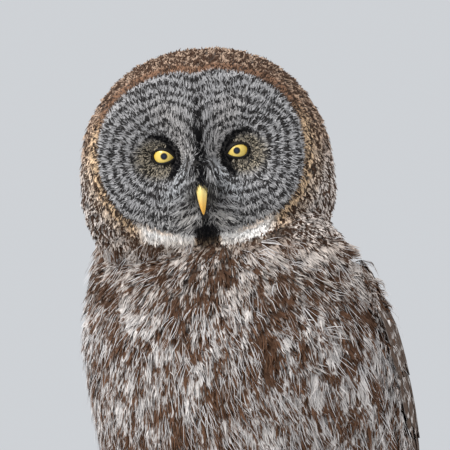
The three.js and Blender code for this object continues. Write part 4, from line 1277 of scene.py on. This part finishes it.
horn = bill_finish()
for half, shape in BILL.items():
    t = np.linspace(0, 1, BILL_ROWS)[:, None]
    root, bend, tip = (np.array([0, *shape[key]], float) for key in ("root", "bend", "tip"))
    middles = bent(root, bend, tip, t)
    path = unit(2 * (1 - t) * (bend - root) + 2 * t * (tip - bend))
    up = np.cross(path, X_AXIS)
    up = up * np.sign(up[:1, 2:] + up[:1, 1:2])
    taper = (np.maximum(1 - t**2.6, 0.0) ** 0.7 + 0.02)[:, 0]
    wide, deep = shape["half"]
    angles = circle(BILL_SIDES)[:, None]
    ridge = 1 + 0.16 * np.maximum(np.sin(angles), 0) ** 6
    rings = middles[:, None] + (wide * taper)[:, None, None] * np.cos(angles) * X_AXIS
    rings = rings + (deep * taper)[:, None, None] * np.sin(angles) * ridge * up[:, None]
    points, faces = loft(rings)
    points = from_head(points * MM)
    if half == "upper":
        grid = np.meshgrid(BRISTLE_ROWS, np.arange(BRISTLES_PER_ROW), indexing="ij")
        row, place = (each.ravel() for each in grid)
        roots = from_head(rings[row, place] * MM)
        ways = unit(roots - from_head(middles[row] * MM))
        bristle_lie = path[row] @ HEAD_AXES.T
        polygons = [face for group in faces for face in group.tolist()]
        upper_tree = BVHTree.FromPolygons(points.tolist(), polygons)
    piece = piece_from("bill_" + half, points, faces, horn)
    give_values(piece, along=np.concatenate([np.repeat(t[:, 0], BILL_SIDES), [0, 1]]))
    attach(piece, "root")
    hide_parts("bill_" + half)

coat_cere_low = feathers(
    "coat_cere_low", (roots, ways), face_coat, "face", 214, length=12.5, width=1.8, lift=3.4, barbs=4,
    splay=0.16, lie=bristle_lie, rows=6, tree=upper_tree, thin=0.7,
)


# The folded wings. The long quills lie bundled over the tail, and tiers of coverts cover their roots as
# tiles do on a roof. Each is a stiff vane on a shaft, split here and there as real ones are.
# The outer face of a wing: height, middle y, half width and depth to the back
WING_FACE = [
    (-146, 94, 38, 55), (-100, 83, 52, 61), (-60, 73, 66, 66), (-20, 64, 81, 70), (20, 56, 97, 75),
    (62, 49, 112, 80), (100, 36, 126, 90), (143, 22, 134, 99), (200, 3, 135, 100), (254, -14, 128, 94),
    (286, -26, 116, 89),
]
VANE_THICKNESS = 0.5
WRIST = 288
# Each tier: feathers, half width, rise, tilt across, dark share, and the power at which the tips climb. Then
# height, share and lift of the root at the wing's front edge and at its inner edge, and of the tip at both
WING_TIERS = {
    "primaries": (9, 12, 1, 0.5, 0.78, 1,
                  (116, 0.12, -15), (116, 0.42, -9.5), (-143, 0.3, -9), (-43, 0.66, -3.5)),
    "secondaries": (12, 15, 0.45, 1.9, 0.66, 2,
                    (132, 0.12, -10.5), (154, 0.9, -10.5), (-8, 0.26, -5.6), (44, 0.88, -5.6)),
    "greater": (12, 12, 0.4, 1.6, 0.62, 1,
                (172, 0.08, -10.5), (180, 0.88, -10.5), (92, 0.09, -2.9), (120, 0.89, -2.9)),
    "median": (13, 11, 0.4, 1.4, 0.62, 1,
               (216, 0.07, -7.5), (222, 0.87, -7.5), (146, 0.06, -1.5), (164, 0.86, -1.5)),
    "lesser": (14, 10, 0.4, 1.2, 0.66, 1,
               (256, 0.06, -5.5), (258, 0.88, -5.5), (196, 0.04, -0.5), (206, 0.86, -0.5)),
}


def wing_point(z, share, lift):
    """A point on the folded left wing: share runs from its front edge to its inner edge."""
    middle, width, depth = stations(WING_FACE, z)
    front, inner = np.radians(stations(WING_EDGES, z))
    angle = np.minimum(lerp(front, inner, share), np.pi - np.arcsin(np.clip(2.2 / width, 0, 1)))
    x, y = (width + lift) * np.sin(angle), middle - (depth + lift) * np.cos(angle)
    return np.stack(np.broadcast_arrays(x, y, z), -1)


def vane_shape(t):
    """A feather's half width along its length: narrow root, full middle, round tip."""
    return (0.5 + 0.5 * step(t, 0, 0.35)) * np.sqrt(1 - np.clip((t - 0.78) / 0.2215, 0, 1) ** 2)


def frayed(draw, rows, s):
    """How far the edges of a vane reach at each row, over its columns s: a soft wave and a few splits."""
    wave = 1 + 0.03 * np.sin(np.arange(rows) * draw.uniform(0.5, 1.1) + draw.uniform(0, 6, (2, 1)))
    split = np.where(draw.random((2, rows)) < 0.09, draw.uniform(0.6, 0.85, (2, rows)), 1)
    split[:, -4:] = 1
    left, right = wave * split + draw.normal(0, 0.012, (2, rows))
    return 1 + (np.where(s < 0, left[:, None], right[:, None]) - 1) * np.abs(s) ** 3


def vane_faces(rows, columns, count, way):
    """Faces of closed vanes, each of a top and a bottom sheet, and the map corners of each face."""
    top = grid_quads(rows, columns)
    edge = np.concatenate([
        np.arange(columns), np.arange(2, rows + 1) * columns - 1,
        (rows - 1) * columns + np.arange(columns - 2, -1, -1), np.arange(rows - 2, 0, -1) * columns,
    ])
    after, below = np.roll(edge, -1), rows * columns
    starts = (np.arange(count) * 2 * below)[:, None, None]
    wall, mapped_wall = ([edge, after, a, b] for a, b in ((after + below, edge + below), (after, edge)))
    return [
        (np.concatenate([top, top[:, ::-1] + below, np.stack(rim, 1)])[:, ::way] + starts).reshape(-1, 4)
        for rim in (wall, mapped_wall)
    ]


def vanes(name, blades, chance, dark_share, length, finish, way=1):
    """Closed thin vanes. blades is (feather, row, column, 3) in millimetres over the feet. way is -1 for
    blades that are mirrored."""
    count, rows, columns = blades.shape[:3]
    up = unit(np.cross(np.gradient(blades, axis=2), np.gradient(blades, axis=1))) * way
    u = np.linspace(-1, 1, columns)
    ridge = 0.35 * bell(u, 0.12)[None, None, :, None]
    half = VANE_THICKNESS / 2 * (1 - 0.6 * np.abs(u) ** 4)[None, None, :, None]
    sides = np.stack([blades + up * (half + ridge), blades - up * half], 1)
    faces, mapped = vane_faces(rows, columns, count, way)
    piece = piece_from(name, (sides * MM).reshape(-1, 3) + OWL_AT, [faces], finish)
    v = np.linspace(0, 1, rows)
    grid = np.stack(np.broadcast_arrays(0.5 + 0.5 * u[None], v[:, None]), -1)
    give_map(piece, "Feather", np.tile(grid.reshape(-1, 2), (2 * count, 1)))
    cell = np.arange(2 * count)[:, None, None]
    laid = np.stack(np.broadcast_arrays((cell + 0.5 + 0.42 * u) / (2 * count), 0.02 + 0.96 * v[:, None]), -1)
    give_map(piece, "OFBake", laid.reshape(-1, 2), mapped.ravel())
    each = 2 * rows * columns
    from_tip = np.repeat(length, each) * (1 - np.tile(np.repeat(v, columns), 2 * count))
    give_values(piece, chance=np.repeat(chance, each), amount=np.repeat(dark_share, each), from_tip=from_tip)
    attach(piece, "root")
    return piece


def wing_blades(tier, draw, rows=34, columns=9):
    """The vanes of one tier of a wing, and the length of each."""
    count, half_width, rise, tilt, _, power, *ends = tier
    k = np.linspace(0, 1, count)[:, None]
    root_front, root_inner, tip_front, tip_inner = (np.array(end, float) for end in ends)
    root = lerp(root_front, root_inner, k)
    tip = lerp(tip_front, tip_inner, np.concatenate([k**power, k, k], 1))
    tip = tip + draw.uniform(-1, 1, (count, 3)) * [3.5, 0.008, 0.3]
    t = (1 - (1 - np.linspace(0, 1, rows)) ** 1.5)[None]
    z, share = lerp(root[:, :1], tip[:, :1], t), lerp(root[:, 1:2], tip[:, 1:2], t)
    lift = lerp(root[:, 2:], tip[:, 2:], step(t, 0, rise))
    per_share = np.linalg.norm(wing_point(z, share, 0) - wing_point(z, share - 0.02, 0), axis=-1) / 0.02
    half = half_width * vane_shape(lerp(0.1, 1, t)) / np.maximum(per_share, 14)
    s = np.linspace(-1, 1, columns)
    across = half[..., None] * s * np.stack([frayed(draw, rows, s) for _ in range(count)])
    crown = 0.9 * (1 - s**2) + draw.normal(0, 0.12, (count, 1, 1))
    points = wing_point(z[..., None], share[..., None] + across, lift[..., None] - tilt * s + crown)
    return points, np.abs(root[:, 0] - tip[:, 0])


def vane_finish(name, base, bar, pitch):
    """A vane marbled with pale bars across it, its fine barbs slanting out from a dark shaft."""
    vane = Finish(name)
    across = vane.on_feather(0)
    off_middle = (across - 0.5).size() * 2
    from_tip, chance, amount = (vane.attribute(key) for key in ("from_tip", "chance", "amount"))
    marble = vane.noise(vane.vector(across * 7, from_tip * 0.16, chance * 60), 1, 4, 0.6)
    bars = ((from_tip + 9 * (marble - 0.5) + off_middle * 5) * (2 * math.pi / pitch)).wave()
    pale = (bars * 0.5 + (marble - 0.5) * 2.6 - (amount - 0.5) * 1.9).between(0.0, 0.75)
    barbs = vane.noise(vane.vector((from_tip - off_middle * 9) * 1.1, off_middle * 0.7, chance * 90), 1, 2)
    colour = vane.mix(pale, base, bar)
    colour = vane.mix(off_middle.between(0.82, 1.0) * 0.35 * marble.between(0.35, 0.6), colour, bar)
    colour = vane.mix(off_middle.between(0.1, 0.03) * 0.8, colour, (0.03, 0.018, 0.011))
    colour = vane.shaded(colour, barbs.between(0.25, 0.75) * 0.5 + 0.7)
    normal = vane.bump(barbs, 0.0006, 0.7)
    return vane.finish(Base_Color=colour, Roughness=0.7, Specular_IOR_Level=0.12, Normal=normal)


QUILL_BROWN, QUILL_BAR, QUILL_PITCH = (0.070, 0.045, 0.033), (0.42, 0.38, 0.35), 21
COVERT_BROWN, COVERT_BAR, COVERT_PITCH = (0.075, 0.048, 0.034), (0.50, 0.47, 0.45), 13
quill = vane_finish("quill", QUILL_BROWN, QUILL_BAR, QUILL_PITCH)
covert = vane_finish("covert", COVERT_BROWN, COVERT_BAR, COVERT_PITCH)
for side, name in SIDES:
    draw = np.random.default_rng(31 + side)
    for tier, sizes in WING_TIERS.items():
        blades, length = wing_blades(sizes, draw)
        made = vanes(
            f"wing_{name}_{tier}", blades * [side, 1, 1], draw.random(len(blades)),
            sizes[4] + draw.normal(0, 0.05, len(blades)), length,
            covert if tier in ("median", "lesser") else quill, side,
        )
        if tier == "primaries":
            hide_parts("wing_" + name)

# The arm of each wing is hidden by small loose feathers, and longer ones, the scapulars, fall from the
# shoulder over its inner edge. Each: spacing, lowest and highest root, share of the wing from and to, depth
# under its face, length, width
ARM_FEATHERS = {
    "shoulder": (7.5, 222, 284, 0.02, 1.0, 3.0, 18, 11),
    "scapulars": (11, 150, 284, 0.74, 1.0, 1.5, 40, 17),
}
ARM_WIDTH = 140
arm_z, arm_share = np.meshgrid(np.linspace(WRIST, 70, 46), np.linspace(0, 1, 26), indexing="ij")
arm_edge = np.minimum(1, 4 * np.minimum(arm_share, 1 - arm_share)) ** 0.5
arm = wing_point(arm_z, arm_share, lerp(-8, -2.5, step(arm_z, 180, 236)) - 4 * (1 - arm_edge))
for side, name in SIDES:
    bed = (arm.reshape(-1, 3) * [side, 1, 1] * MM + OWL_AT).astype(np.float32)
    arm_tree = BVHTree.FromPolygons(bed.tolist(), grid_quads(*arm.shape[:2])[:, ::side].tolist())
    draw = np.random.default_rng(41 + side)
    for kind, (spacing, low, high, near, far, depth, long, wide) in ARM_FEATHERS.items():
        rows, columns = np.arange(low, high, spacing), np.arange(near, far, spacing / ARM_WIDTH)
        z, share = (grid.ravel() for grid in np.meshgrid(rows, columns, indexing="ij"))
        z = z + draw.uniform(-0.45, 0.45, len(z)) * spacing
        share = np.clip(share + draw.uniform(-0.45, 0.45, len(z)) * spacing / ARM_WIDTH, 0.01, 0.99)
        at, normal = on_skin(wing_point(z, share, -depth) * [side, 1, 1] * MM + OWL_AT, arm_tree)
        normal = normal * np.sign((normal * (at - OWL_AT - [0, 0.03, 0.15])).sum(-1, keepdims=True))
        lie = np.stack([-0.12 * side + 0 * z, 0.22 + 0 * z, -1 + 0 * z], 1)
        coat = feathers(
            f"coat_{kind}_{name}", (at, normal), plumage, "body", 51 + side, length=long, width=wide,
            lift=3.0, barbs=7, lie=lie, tree=arm_tree,
        )


# The tail: twelve stiff feathers in a fan, the middle pair outermost on the back, marbled with irregular
# bars, with shorter coverts over and under their roots.
TAIL_ROOT, TAIL_TIP = np.array([0, 99, 52.0]), np.array([0, 148, -215.0])
TAIL_LENGTH = np.linalg.norm(TAIL_TIP - TAIL_ROOT)
TAIL_PAIRS = 6
TAIL_PITCH = (3.2, 8.3)
TAIL_ARCH = 0.023
TAIL_START, TAIL_HALF_WIDTH, TAIL_SHARE = 34, 15.5, 0.55
TAIL_BROWN, TAIL_BAR, TAIL_BAR_PITCH = (0.06, 0.036, 0.025), (0.30, 0.26, 0.225), 27
COVERT_START, COVERT_HALF_WIDTH, COVERT_SHARE, COVERT_LENGTH = 14, 12, 0.45, 90.0
COVERT_LAYERS = ((5.2, 112, 4), (8.2, 78, 3), (-15.5, 128, 4), (-17.5, 92, 3))  # depth, longest, pairs


def tail_blade(pair, side, root, length, half_width, layer, draw, rows=44, columns=9):
    """One feather of the fan, which spreads from the root of the tail and droops to its sides."""
    line = unit(TAIL_TIP - TAIL_ROOT)
    back = np.array([0, -line[2], line[1]])
    t = 1 - (1 - np.linspace(0, 1, rows)) ** 1.5
    along = lerp(root, length, t)[:, None]
    s = np.linspace(-1, 1, columns)[None]
    reach = frayed(draw, rows, s)
    out = side * (pair + 0.5) * lerp(*TAIL_PITCH, along / TAIL_LENGTH)
    lean = (TAIL_ARCH * out)[..., None]
    across, up = unit(X_AXIS - lean * back), unit(back + lean * X_AXIS)
    at = TAIL_ROOT + along[..., None] * line + (layer - 0.5 * TAIL_ARCH * out**2)[..., None] * back
    half = half_width * vane_shape(lerp(0.15, 1, t))[:, None] * s * reach
    return at + out[..., None] * X_AXIS + half[..., None] * across + (0.6 - 0.9 * s**2)[..., None] * up


def tail_vanes(name, blades, share, length, finish):
    """Stiff vanes that face to the back of the tail."""
    blades = np.stack(blades)[..., ::-1, :]
    shares, lengths = np.full(len(blades), share), np.full(len(blades), length)
    return vanes(name, blades, draw.random(len(blades)), shares, lengths, finish)


draw = np.random.default_rng(61)
blades = []
for pair in range(TAIL_PAIRS):
    for side in (-1, 1):
        length = TAIL_LENGTH - 1.1 * pair * pair - (2 * draw.random() if pair else 0)
        layer = 3 - 2.3 * pair - (0 if side > 0 else 1.15)
        blades.append(tail_blade(pair, side, TAIL_START, length, TAIL_HALF_WIDTH, layer, draw))
tail_bars = vane_finish("tail_bars", TAIL_BROWN, TAIL_BAR, TAIL_BAR_PITCH)
tail = tail_vanes("tail", blades, TAIL_SHARE, TAIL_LENGTH - TAIL_START, tail_bars)
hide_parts("tail")
blades = []
for layer, longest, pairs in COVERT_LAYERS:
    for pair in range(pairs):
        for side in (-1, 1):
            reach, depth = longest - 5 * pair + 4 * draw.random(), layer - 1.0 * pair + 0.3 * side
            sizes = (COVERT_START, reach, COVERT_HALF_WIDTH, depth)
            blades.append(tail_blade(pair * 1.15, side, *sizes, draw, rows=26))
tail_coverts = tail_vanes("tail_coverts", blades, COVERT_SHARE, COVERT_LENGTH, covert)


# The legs and toes are feathered down to the claws, as on all northern owls. The feathers are short, dense,
# whitish and soft, and grow from the skin.
def in_legs(points):
    return over_feet(points)[:, 2] <= 5


def leg_lie(points):
    """Down the legs, then out along the toes round the perch."""
    _, y, z = over_feet(points).T
    angle = np.arctan2(-y, z + PERCH_RADIUS)
    round_it = np.stack([0 * y, -np.cos(angle), -np.sin(angle)], 1) * np.where(y > 0, -1, 1)[:, None]
    round_it[:, 2] = -np.abs(np.sin(angle))
    return lerp(np.array([0, 0, -1.0]), round_it, step(z, 12, 4)[:, None])


places = spread(in_legs, spacing=0.0029, seed=109)
coat_legs = feathers(
    "coat_legs", places, plumage, "legs", 209, length=7.5, width=3.2, lift=2.2, barbs=4,
    lie=leg_lie(places[0]),
)


# Eight claws of black horn, two forward and two back on each foot. Each grows out of the end of its toe and
# curves in towards the branch.
CLAW_TURN, CLAW_RADIUS, CLAW_TIP, CLAW_ROOT_LIFT, CLAW_TIP_LIFT = 39, 4.1, 0.35, 8.6, 2.6
CLAW_ROWS, CLAW_SIDES = 30, 20
CLAW_NAMES = ("inner_front", "outer_front", "inner_back", "outer_back")


def claw_finish():
    horn = Finish("claw")
    along = horn.attribute("along")
    grain = horn.noise(horn.place(), 700, 3)
    colour = horn.mix(along.between(0.3, 0.0) * 0.5, (0.012, 0.011, 0.011), (0.07, 0.06, 0.052))
    colour = horn.mix(grain.between(0.5, 0.75) * 0.4, colour, (0.045, 0.04, 0.036))
    return horn.finish(Base_Color=colour, Roughness=grain * 0.2 + 0.22, Normal=horn.bump(grain, 0.0002, 0.5))


black_horn = claw_finish()
for side, foot in SIDES:
    for (out, forward, reach), toe in zip(TOES, CLAW_NAMES):
        t = np.linspace(-0.12, 1, CLAW_ROWS)
        angle = np.radians(forward * (reach + CLAW_TURN * t))
        radius = PERCH_RADIUS + lerp(CLAW_ROOT_LIFT, CLAW_TIP_LIFT, np.maximum(t, 0) ** 1.5)
        thick = lerp(CLAW_RADIUS, CLAW_TIP, np.maximum(t, 0) ** 0.85) * np.where(t < 0, 0.92, 1)
        middles = round_perch(side * (FOOT_OUT + 1.25 * out), angle, radius)
        away = round_perch(0, angle, 1) - round_perch(0, angle, 0)
        rings = tube_rings(middles, X_AXIS, away[:, None], 0.78 * thick, thick, CLAW_SIDES)
        points, faces = loft(rings if forward > 0 else rings[:, ::-1])
        claw = piece_from(f"claw_{foot}_{toe}", points * MM + OWL_AT, faces, black_horn)
        give_values(claw, along=np.concatenate([np.repeat(np.clip(t, 0, 1), CLAW_SIDES), [0, 1]]))
        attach(claw, "root")
        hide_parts(f"claw_{foot}_{toe}")


# The perch is a short cut length of pine branch with its bark on: furrowed, with plates that flake, and pale
# sawn ends that show the rings.
PERCH_LENGTH = 250
BARK_ROWS, BARK_SEGMENTS = 220, 150
LONG_CRACKS, CROSS_CRACKS = 15, 46


def perch_radius(x):
    return PERCH_RADIUS * (1 + 0.035 * np.sin(0.031 * x + 1) + 0.02 * np.sin(0.083 * x))


def bark_finish():
    bark = Finish("bark")
    along = bark.place((0.35, 1, 1))
    large, fine = bark.noise(along, 55, 4, 0.4), bark.noise(along, 420, 4)
    height = bark.attribute("height")
    colour = bark.mix(large.between(0.35, 0.65), (0.13, 0.085, 0.06), (0.27, 0.20, 0.155))
    colour = bark.mix(fine.between(0.45, 0.7) * 0.5, colour, (0.36, 0.30, 0.25))
    # The furrows and cross cracks are painted near black: painted shade in the hollows of the bark.
    colour = bark.mix(height.between(0.5, 0.1) * 0.85, colour, (0.035, 0.022, 0.016))
    return bark.finish(Base_Color=colour, Roughness=0.9, Normal=bark.bump(fine, 0.0012, 0.8))


def sawn_finish():
    wood = Finish("sawn_wood")
    from_pith = wood.attribute("from_pith")
    grain = wood.noise(wood.place((6, 1, 1)), 160, 3)
    rings = ((from_pith + 1.6 * (grain - 0.5)) * (2 * math.pi / 2.1)).wave().between(-0.2, 0.9)
    colour = wood.mix(rings * 0.6, (0.55, 0.38, 0.21), (0.36, 0.21, 0.10))
    colour = wood.mix(grain.between(0.5, 0.72) * 0.4, colour, (0.24, 0.14, 0.075))
    return wood.finish(Base_Color=colour, Roughness=0.75, Normal=wood.bump(rings + grain, 0.0003, 0.6))


def gap_round(angle, other):
    """How far apart two angles are, the shorter way round."""
    return np.abs(np.arctan2(np.sin(angle - other), np.cos(angle - other)))


def furrows(x, angle):
    """Height of the bark, from 0 in a furrow to 1 on a plate: long cracks that meet and part."""
    draw = np.random.default_rng(71)
    height = np.ones(np.broadcast(x, angle).shape)
    for _ in range(LONG_CRACKS):
        start, bend, phase = draw.uniform(0, 2 * math.pi), draw.uniform(0.1, 0.35), draw.uniform(0, 6)
        line = start + bend * np.sin(x * draw.uniform(0.03, 0.075) + phase) + 0.1 * np.sin(x * 0.21 + phase)
        height = np.minimum(height, np.clip(gap_round(angle, line) / 0.1, 0, 1) ** 0.7)
    for n in range(CROSS_CRACKS):
        middle, at = draw.uniform(0, 2 * math.pi), draw.uniform(-PERCH_LENGTH / 2, PERCH_LENGTH / 2)
        gap = np.abs(x - at - 5 * np.sin(angle * 2 + n))
        near = gap_round(angle, middle) < draw.uniform(0.2, 0.5)
        height = np.minimum(height, np.where(near, np.clip(gap / 1.3, 0.0, 1) ** 0.7, 1))
    return height


x = np.linspace(-PERCH_LENGTH / 2, PERCH_LENGTH / 2, BARK_ROWS)[:, None]
angle = circle(BARK_SEGMENTS)[None]
height = furrows(x, angle)
rough = 0.35 * np.sin(5 * angle + 0.11 * x) * np.sin(0.19 * x + 3 * np.cos(angle))
rough = rough + 0.3 * np.sin(9 * angle - 0.3 * x)
radius = perch_radius(x) - 1.5 * (1 - height) + 0.3 * rough * height - 0.2
shape = np.broadcast_arrays(x, 0.98 * radius * np.cos(angle), radius * np.sin(angle) - PERCH_RADIUS)
points, faces = loft(np.stack(shape, -1)[:, ::-1])
perch = piece_from("perch", points * MM + OWL_AT, faces, bark_finish())
give_values(perch, height=np.concatenate([height[:, ::-1].ravel(), [0.3, 0.3]]))
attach(perch, "root")
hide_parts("perch")
for side, name in SIDES:
    share = np.linspace(1, 0.02, 24)[:, None]
    ring = radius[-1 if side > 0 else 0] * 0.9
    disc = np.stack(np.broadcast_arrays(
        side * (PERCH_LENGTH / 2 + 0.4 - 0.4 * share), 0.98 * ring * share * np.cos(angle),
        ring * share * np.sin(angle) - PERCH_RADIUS,
    ), -1)
    points, faces = loft(disc[:, ::side])
    end = piece_from("perch_end_" + name, points * MM + OWL_AT, faces[:1] + faces[2:], sawn_finish())
    give_values(end, from_pith=np.hypot(points[:, 1], points[:, 2] + PERCH_RADIUS))
    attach(end, "root")

# Thin flakes of bark lift off the plates, thickest at their middles. They are of the same bark, each held by
# its foot.
FLAKE_SIZE, FLAKES_PER_SQUARE_METRE, FLAKE_SEED = 4.5, 42000, 5


def flake_mesh():
    """One small flake, a shallow closed lens with a ragged outline, as long as one."""
    angles = circle(9)
    ragged = 1 + 0.18 * np.sin(angles * 3 + 1) + 0.1 * np.cos(angles * 4)
    rim = np.stack([0.55 * ragged * np.cos(angles), 0.3 * ragged * np.sin(angles), 0 * angles], 1)
    points, faces = loft(np.stack([rim, rim * [0.55, 0.55, 1] + [0, 0, 0.09]]))
    return piece_from("flake", points, faces, bark_finish())


def flake_tree(flake, seed):
    """A node tree that scatters flakes over a mesh, laid along it, as one real mesh, and its inputs."""
    tree = bpy.data.node_groups.new("bark_flakes", "GeometryNodeTree")
    sockets = {
        name: tree.interface.new_socket(name, in_out=way, socket_type="NodeSocket" + kind)
        for name, way, kind in (
            ("Bark", "INPUT", "Geometry"), ("Flake size", "INPUT", "Float"),
            ("Flakes per square metre", "INPUT", "Float"), ("Flakes", "OUTPUT", "Geometry"),
        )
    }
    given, made, scatter, place, look, scale, times, turn, real, paint = (tree.nodes.new(kind) for kind in (
        "NodeGroupInput", "NodeGroupOutput", "GeometryNodeDistributePointsOnFaces",
        "GeometryNodeInstanceOnPoints", "GeometryNodeObjectInfo", "FunctionNodeRandomValue",
        "ShaderNodeMath", "FunctionNodeAlignRotationToVector", "GeometryNodeRealizeInstances",
        "GeometryNodeSetMaterial",
    ))
    times.operation = "MULTIPLY"
    turn.axis, turn.pivot_axis = "X", "Z"
    for node, entry, value in (
        (scatter, "Seed", seed), (scale, "Seed", seed + 1), (scale, 2, 0.5), (scale, 3, 1.3),
        (look, "Object", flake), (turn, "Vector", X_AXIS), (paint, "Material", flake.data.materials[0]),
    ):
        node.inputs[entry].default_value = value
    for source, output, target, entry in (
        (given, "Bark", scatter, "Mesh"), (given, "Flakes per square metre", scatter, "Density"),
        (scatter, "Points", place, "Points"), (scatter, "Rotation", turn, "Rotation"),
        (turn, "Rotation", place, "Rotation"), (look, "Geometry", place, "Instance"),
        (scale, 1, times, 0), (given, "Flake size", times, 1), (times, 0, place, "Scale"),
        (place, "Instances", real, 0), (real, 0, paint, "Geometry"), (paint, 0, made, 0),
    ):
        tree.links.new(source.outputs[output], target.inputs[entry])
    return tree, sockets


def flakes_on(base, size, density, seed):
    """Flakes over a mesh, as a piece of their own."""
    flake = flake_mesh()
    tree, sockets = flake_tree(flake, seed)
    grown = base.copy()
    grown.data = base.data.copy()
    bpy.context.scene.collection.objects.link(grown)
    scatterer = grown.modifiers.new("flakes", "NODES")
    scatterer.node_group = tree
    scatterer[sockets["Flake size"].identifier] = size
    scatterer[sockets["Flakes per square metre"].identifier] = density
    evaluated = grown.evaluated_get(bpy.context.evaluated_depsgraph_get())
    piece = bpy.data.objects.new("bark_flakes", bpy.data.meshes.new_from_object(evaluated))
    bpy.context.scene.collection.objects.link(piece)
    bpy.data.objects.remove(grown)
    bpy.data.objects.remove(flake)
    return piece


flakes = flakes_on(perch, FLAKE_SIZE * MM, FLAKES_PER_SQUARE_METRE, FLAKE_SEED)
give_values(flakes, height=np.ones(len(flakes.data.vertices)))
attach(flakes, "root")


# The stand: two black steel rods, each with a thin collar where it meets the base, and a plain
# base of dark stained wood with rounded corners and a softened edge.
BASE_WIDTH, BASE_DEPTH, BASE_THICKNESS, BASE_CORNER, BASE_EDGE = 250, 260, 16, 24, 2
ROD_RADIUS, ROD_OUT = 5, 92
CORNER_STEPS, EDGE_STEPS = 13, 6


def steel_finish():
    steel = Finish("stand_steel")
    grain = steel.noise(steel.place((1, 1, 0.15)), 900, 3)
    colour = steel.mix(grain.between(0.4, 0.7), (0.022, 0.022, 0.024), (0.038, 0.038, 0.040))
    normal = steel.bump(grain, 0.0001, 0.35)
    return steel.finish(Base_Color=colour, Roughness=grain * 0.2 + 0.3, Normal=normal)


def board_finish():
    board = Finish("stand_wood")
    figure = board.noise(board.place((0.06, 1, 1)), 70, 4, 1.2)
    pores = board.noise(board.place((0.04, 1, 1)), 900, 3)
    colour = board.mix(figure.between(0.3, 0.7), (0.055, 0.026, 0.014), (0.13, 0.066, 0.034))
    colour = board.mix(pores.between(0.55, 0.7) * 0.6, colour, (0.022, 0.011, 0.007))
    return board.finish(
        Base_Color=colour, Roughness=pores * 0.25 + 0.32, Coat_Weight=0.35, Coat_Roughness=0.22,
        Normal=board.bump(pores, 0.0002, 0.4),
    )


def turned_on_z(name, profile, x, finish, count=48):
    """A round piece from a profile of radius and height, standing at x."""
    angles = circle(count)
    radius, z = np.array(profile, float).T[..., None]
    rings = np.stack(np.broadcast_arrays(x + radius * np.cos(angles), radius * np.sin(angles), z), -1)
    points, faces = loft(rings)
    piece = piece_from(name, points * MM + OWL_AT, faces, finish)
    piece.data.set_sharp_from_angle(angle=math.radians(35))
    return piece


steel = steel_finish()
rod_foot = -OWL_AT[2] / MM + BASE_THICKNESS + 0.3
for side, name in SIDES:
    under = -PERCH_RADIUS - perch_radius(side * ROD_OUT) + 2.5
    collar = [(-ROD_RADIUS + 0.5, 0), (4.5, 0), (5, 0.5), (5, 2.4), (4, 3.2), (0, 3.6)]
    profile = [(ROD_RADIUS + out, rod_foot + z) for out, z in collar] + [(ROD_RADIUS, under)]
    rod = turned_on_z("stand_rod_" + name, profile, side * ROD_OUT, steel)
    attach(rod, "root")
    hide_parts("stand_rod_" + name)

corners = [
    (BASE_WIDTH / 2 - BASE_CORNER) * np.array([1, -1, -1, 1]).repeat(CORNER_STEPS),
    (BASE_DEPTH / 2 - BASE_CORNER) * np.array([1, 1, -1, -1]).repeat(CORNER_STEPS),
]
turned_by = np.concatenate([np.linspace(0, math.pi / 2, CORNER_STEPS) + n * math.pi / 2 for n in range(4)])
edge_turn = np.linspace(0, math.pi / 2, EDGE_STEPS)
levels = [(BASE_EDGE * (1 - math.sin(a)), BASE_EDGE * (1 - math.cos(a))) for a in edge_turn]
levels += [(inset, BASE_THICKNESS - z) for inset, z in levels[::-1]]
rings = [
    np.stack([
        corners[0] + (BASE_CORNER - inset) * np.cos(turned_by),
        corners[1] + (BASE_CORNER - inset) * np.sin(turned_by), np.full(len(turned_by), z),
    ], 1)
    for inset, z in levels
]
points, faces = loft(np.array(rings))
base = piece_from("stand_base", points * MM, faces, board_finish())
base.data.set_sharp_from_angle(angle=math.radians(40))
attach(base, "root")
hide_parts("stand_base")
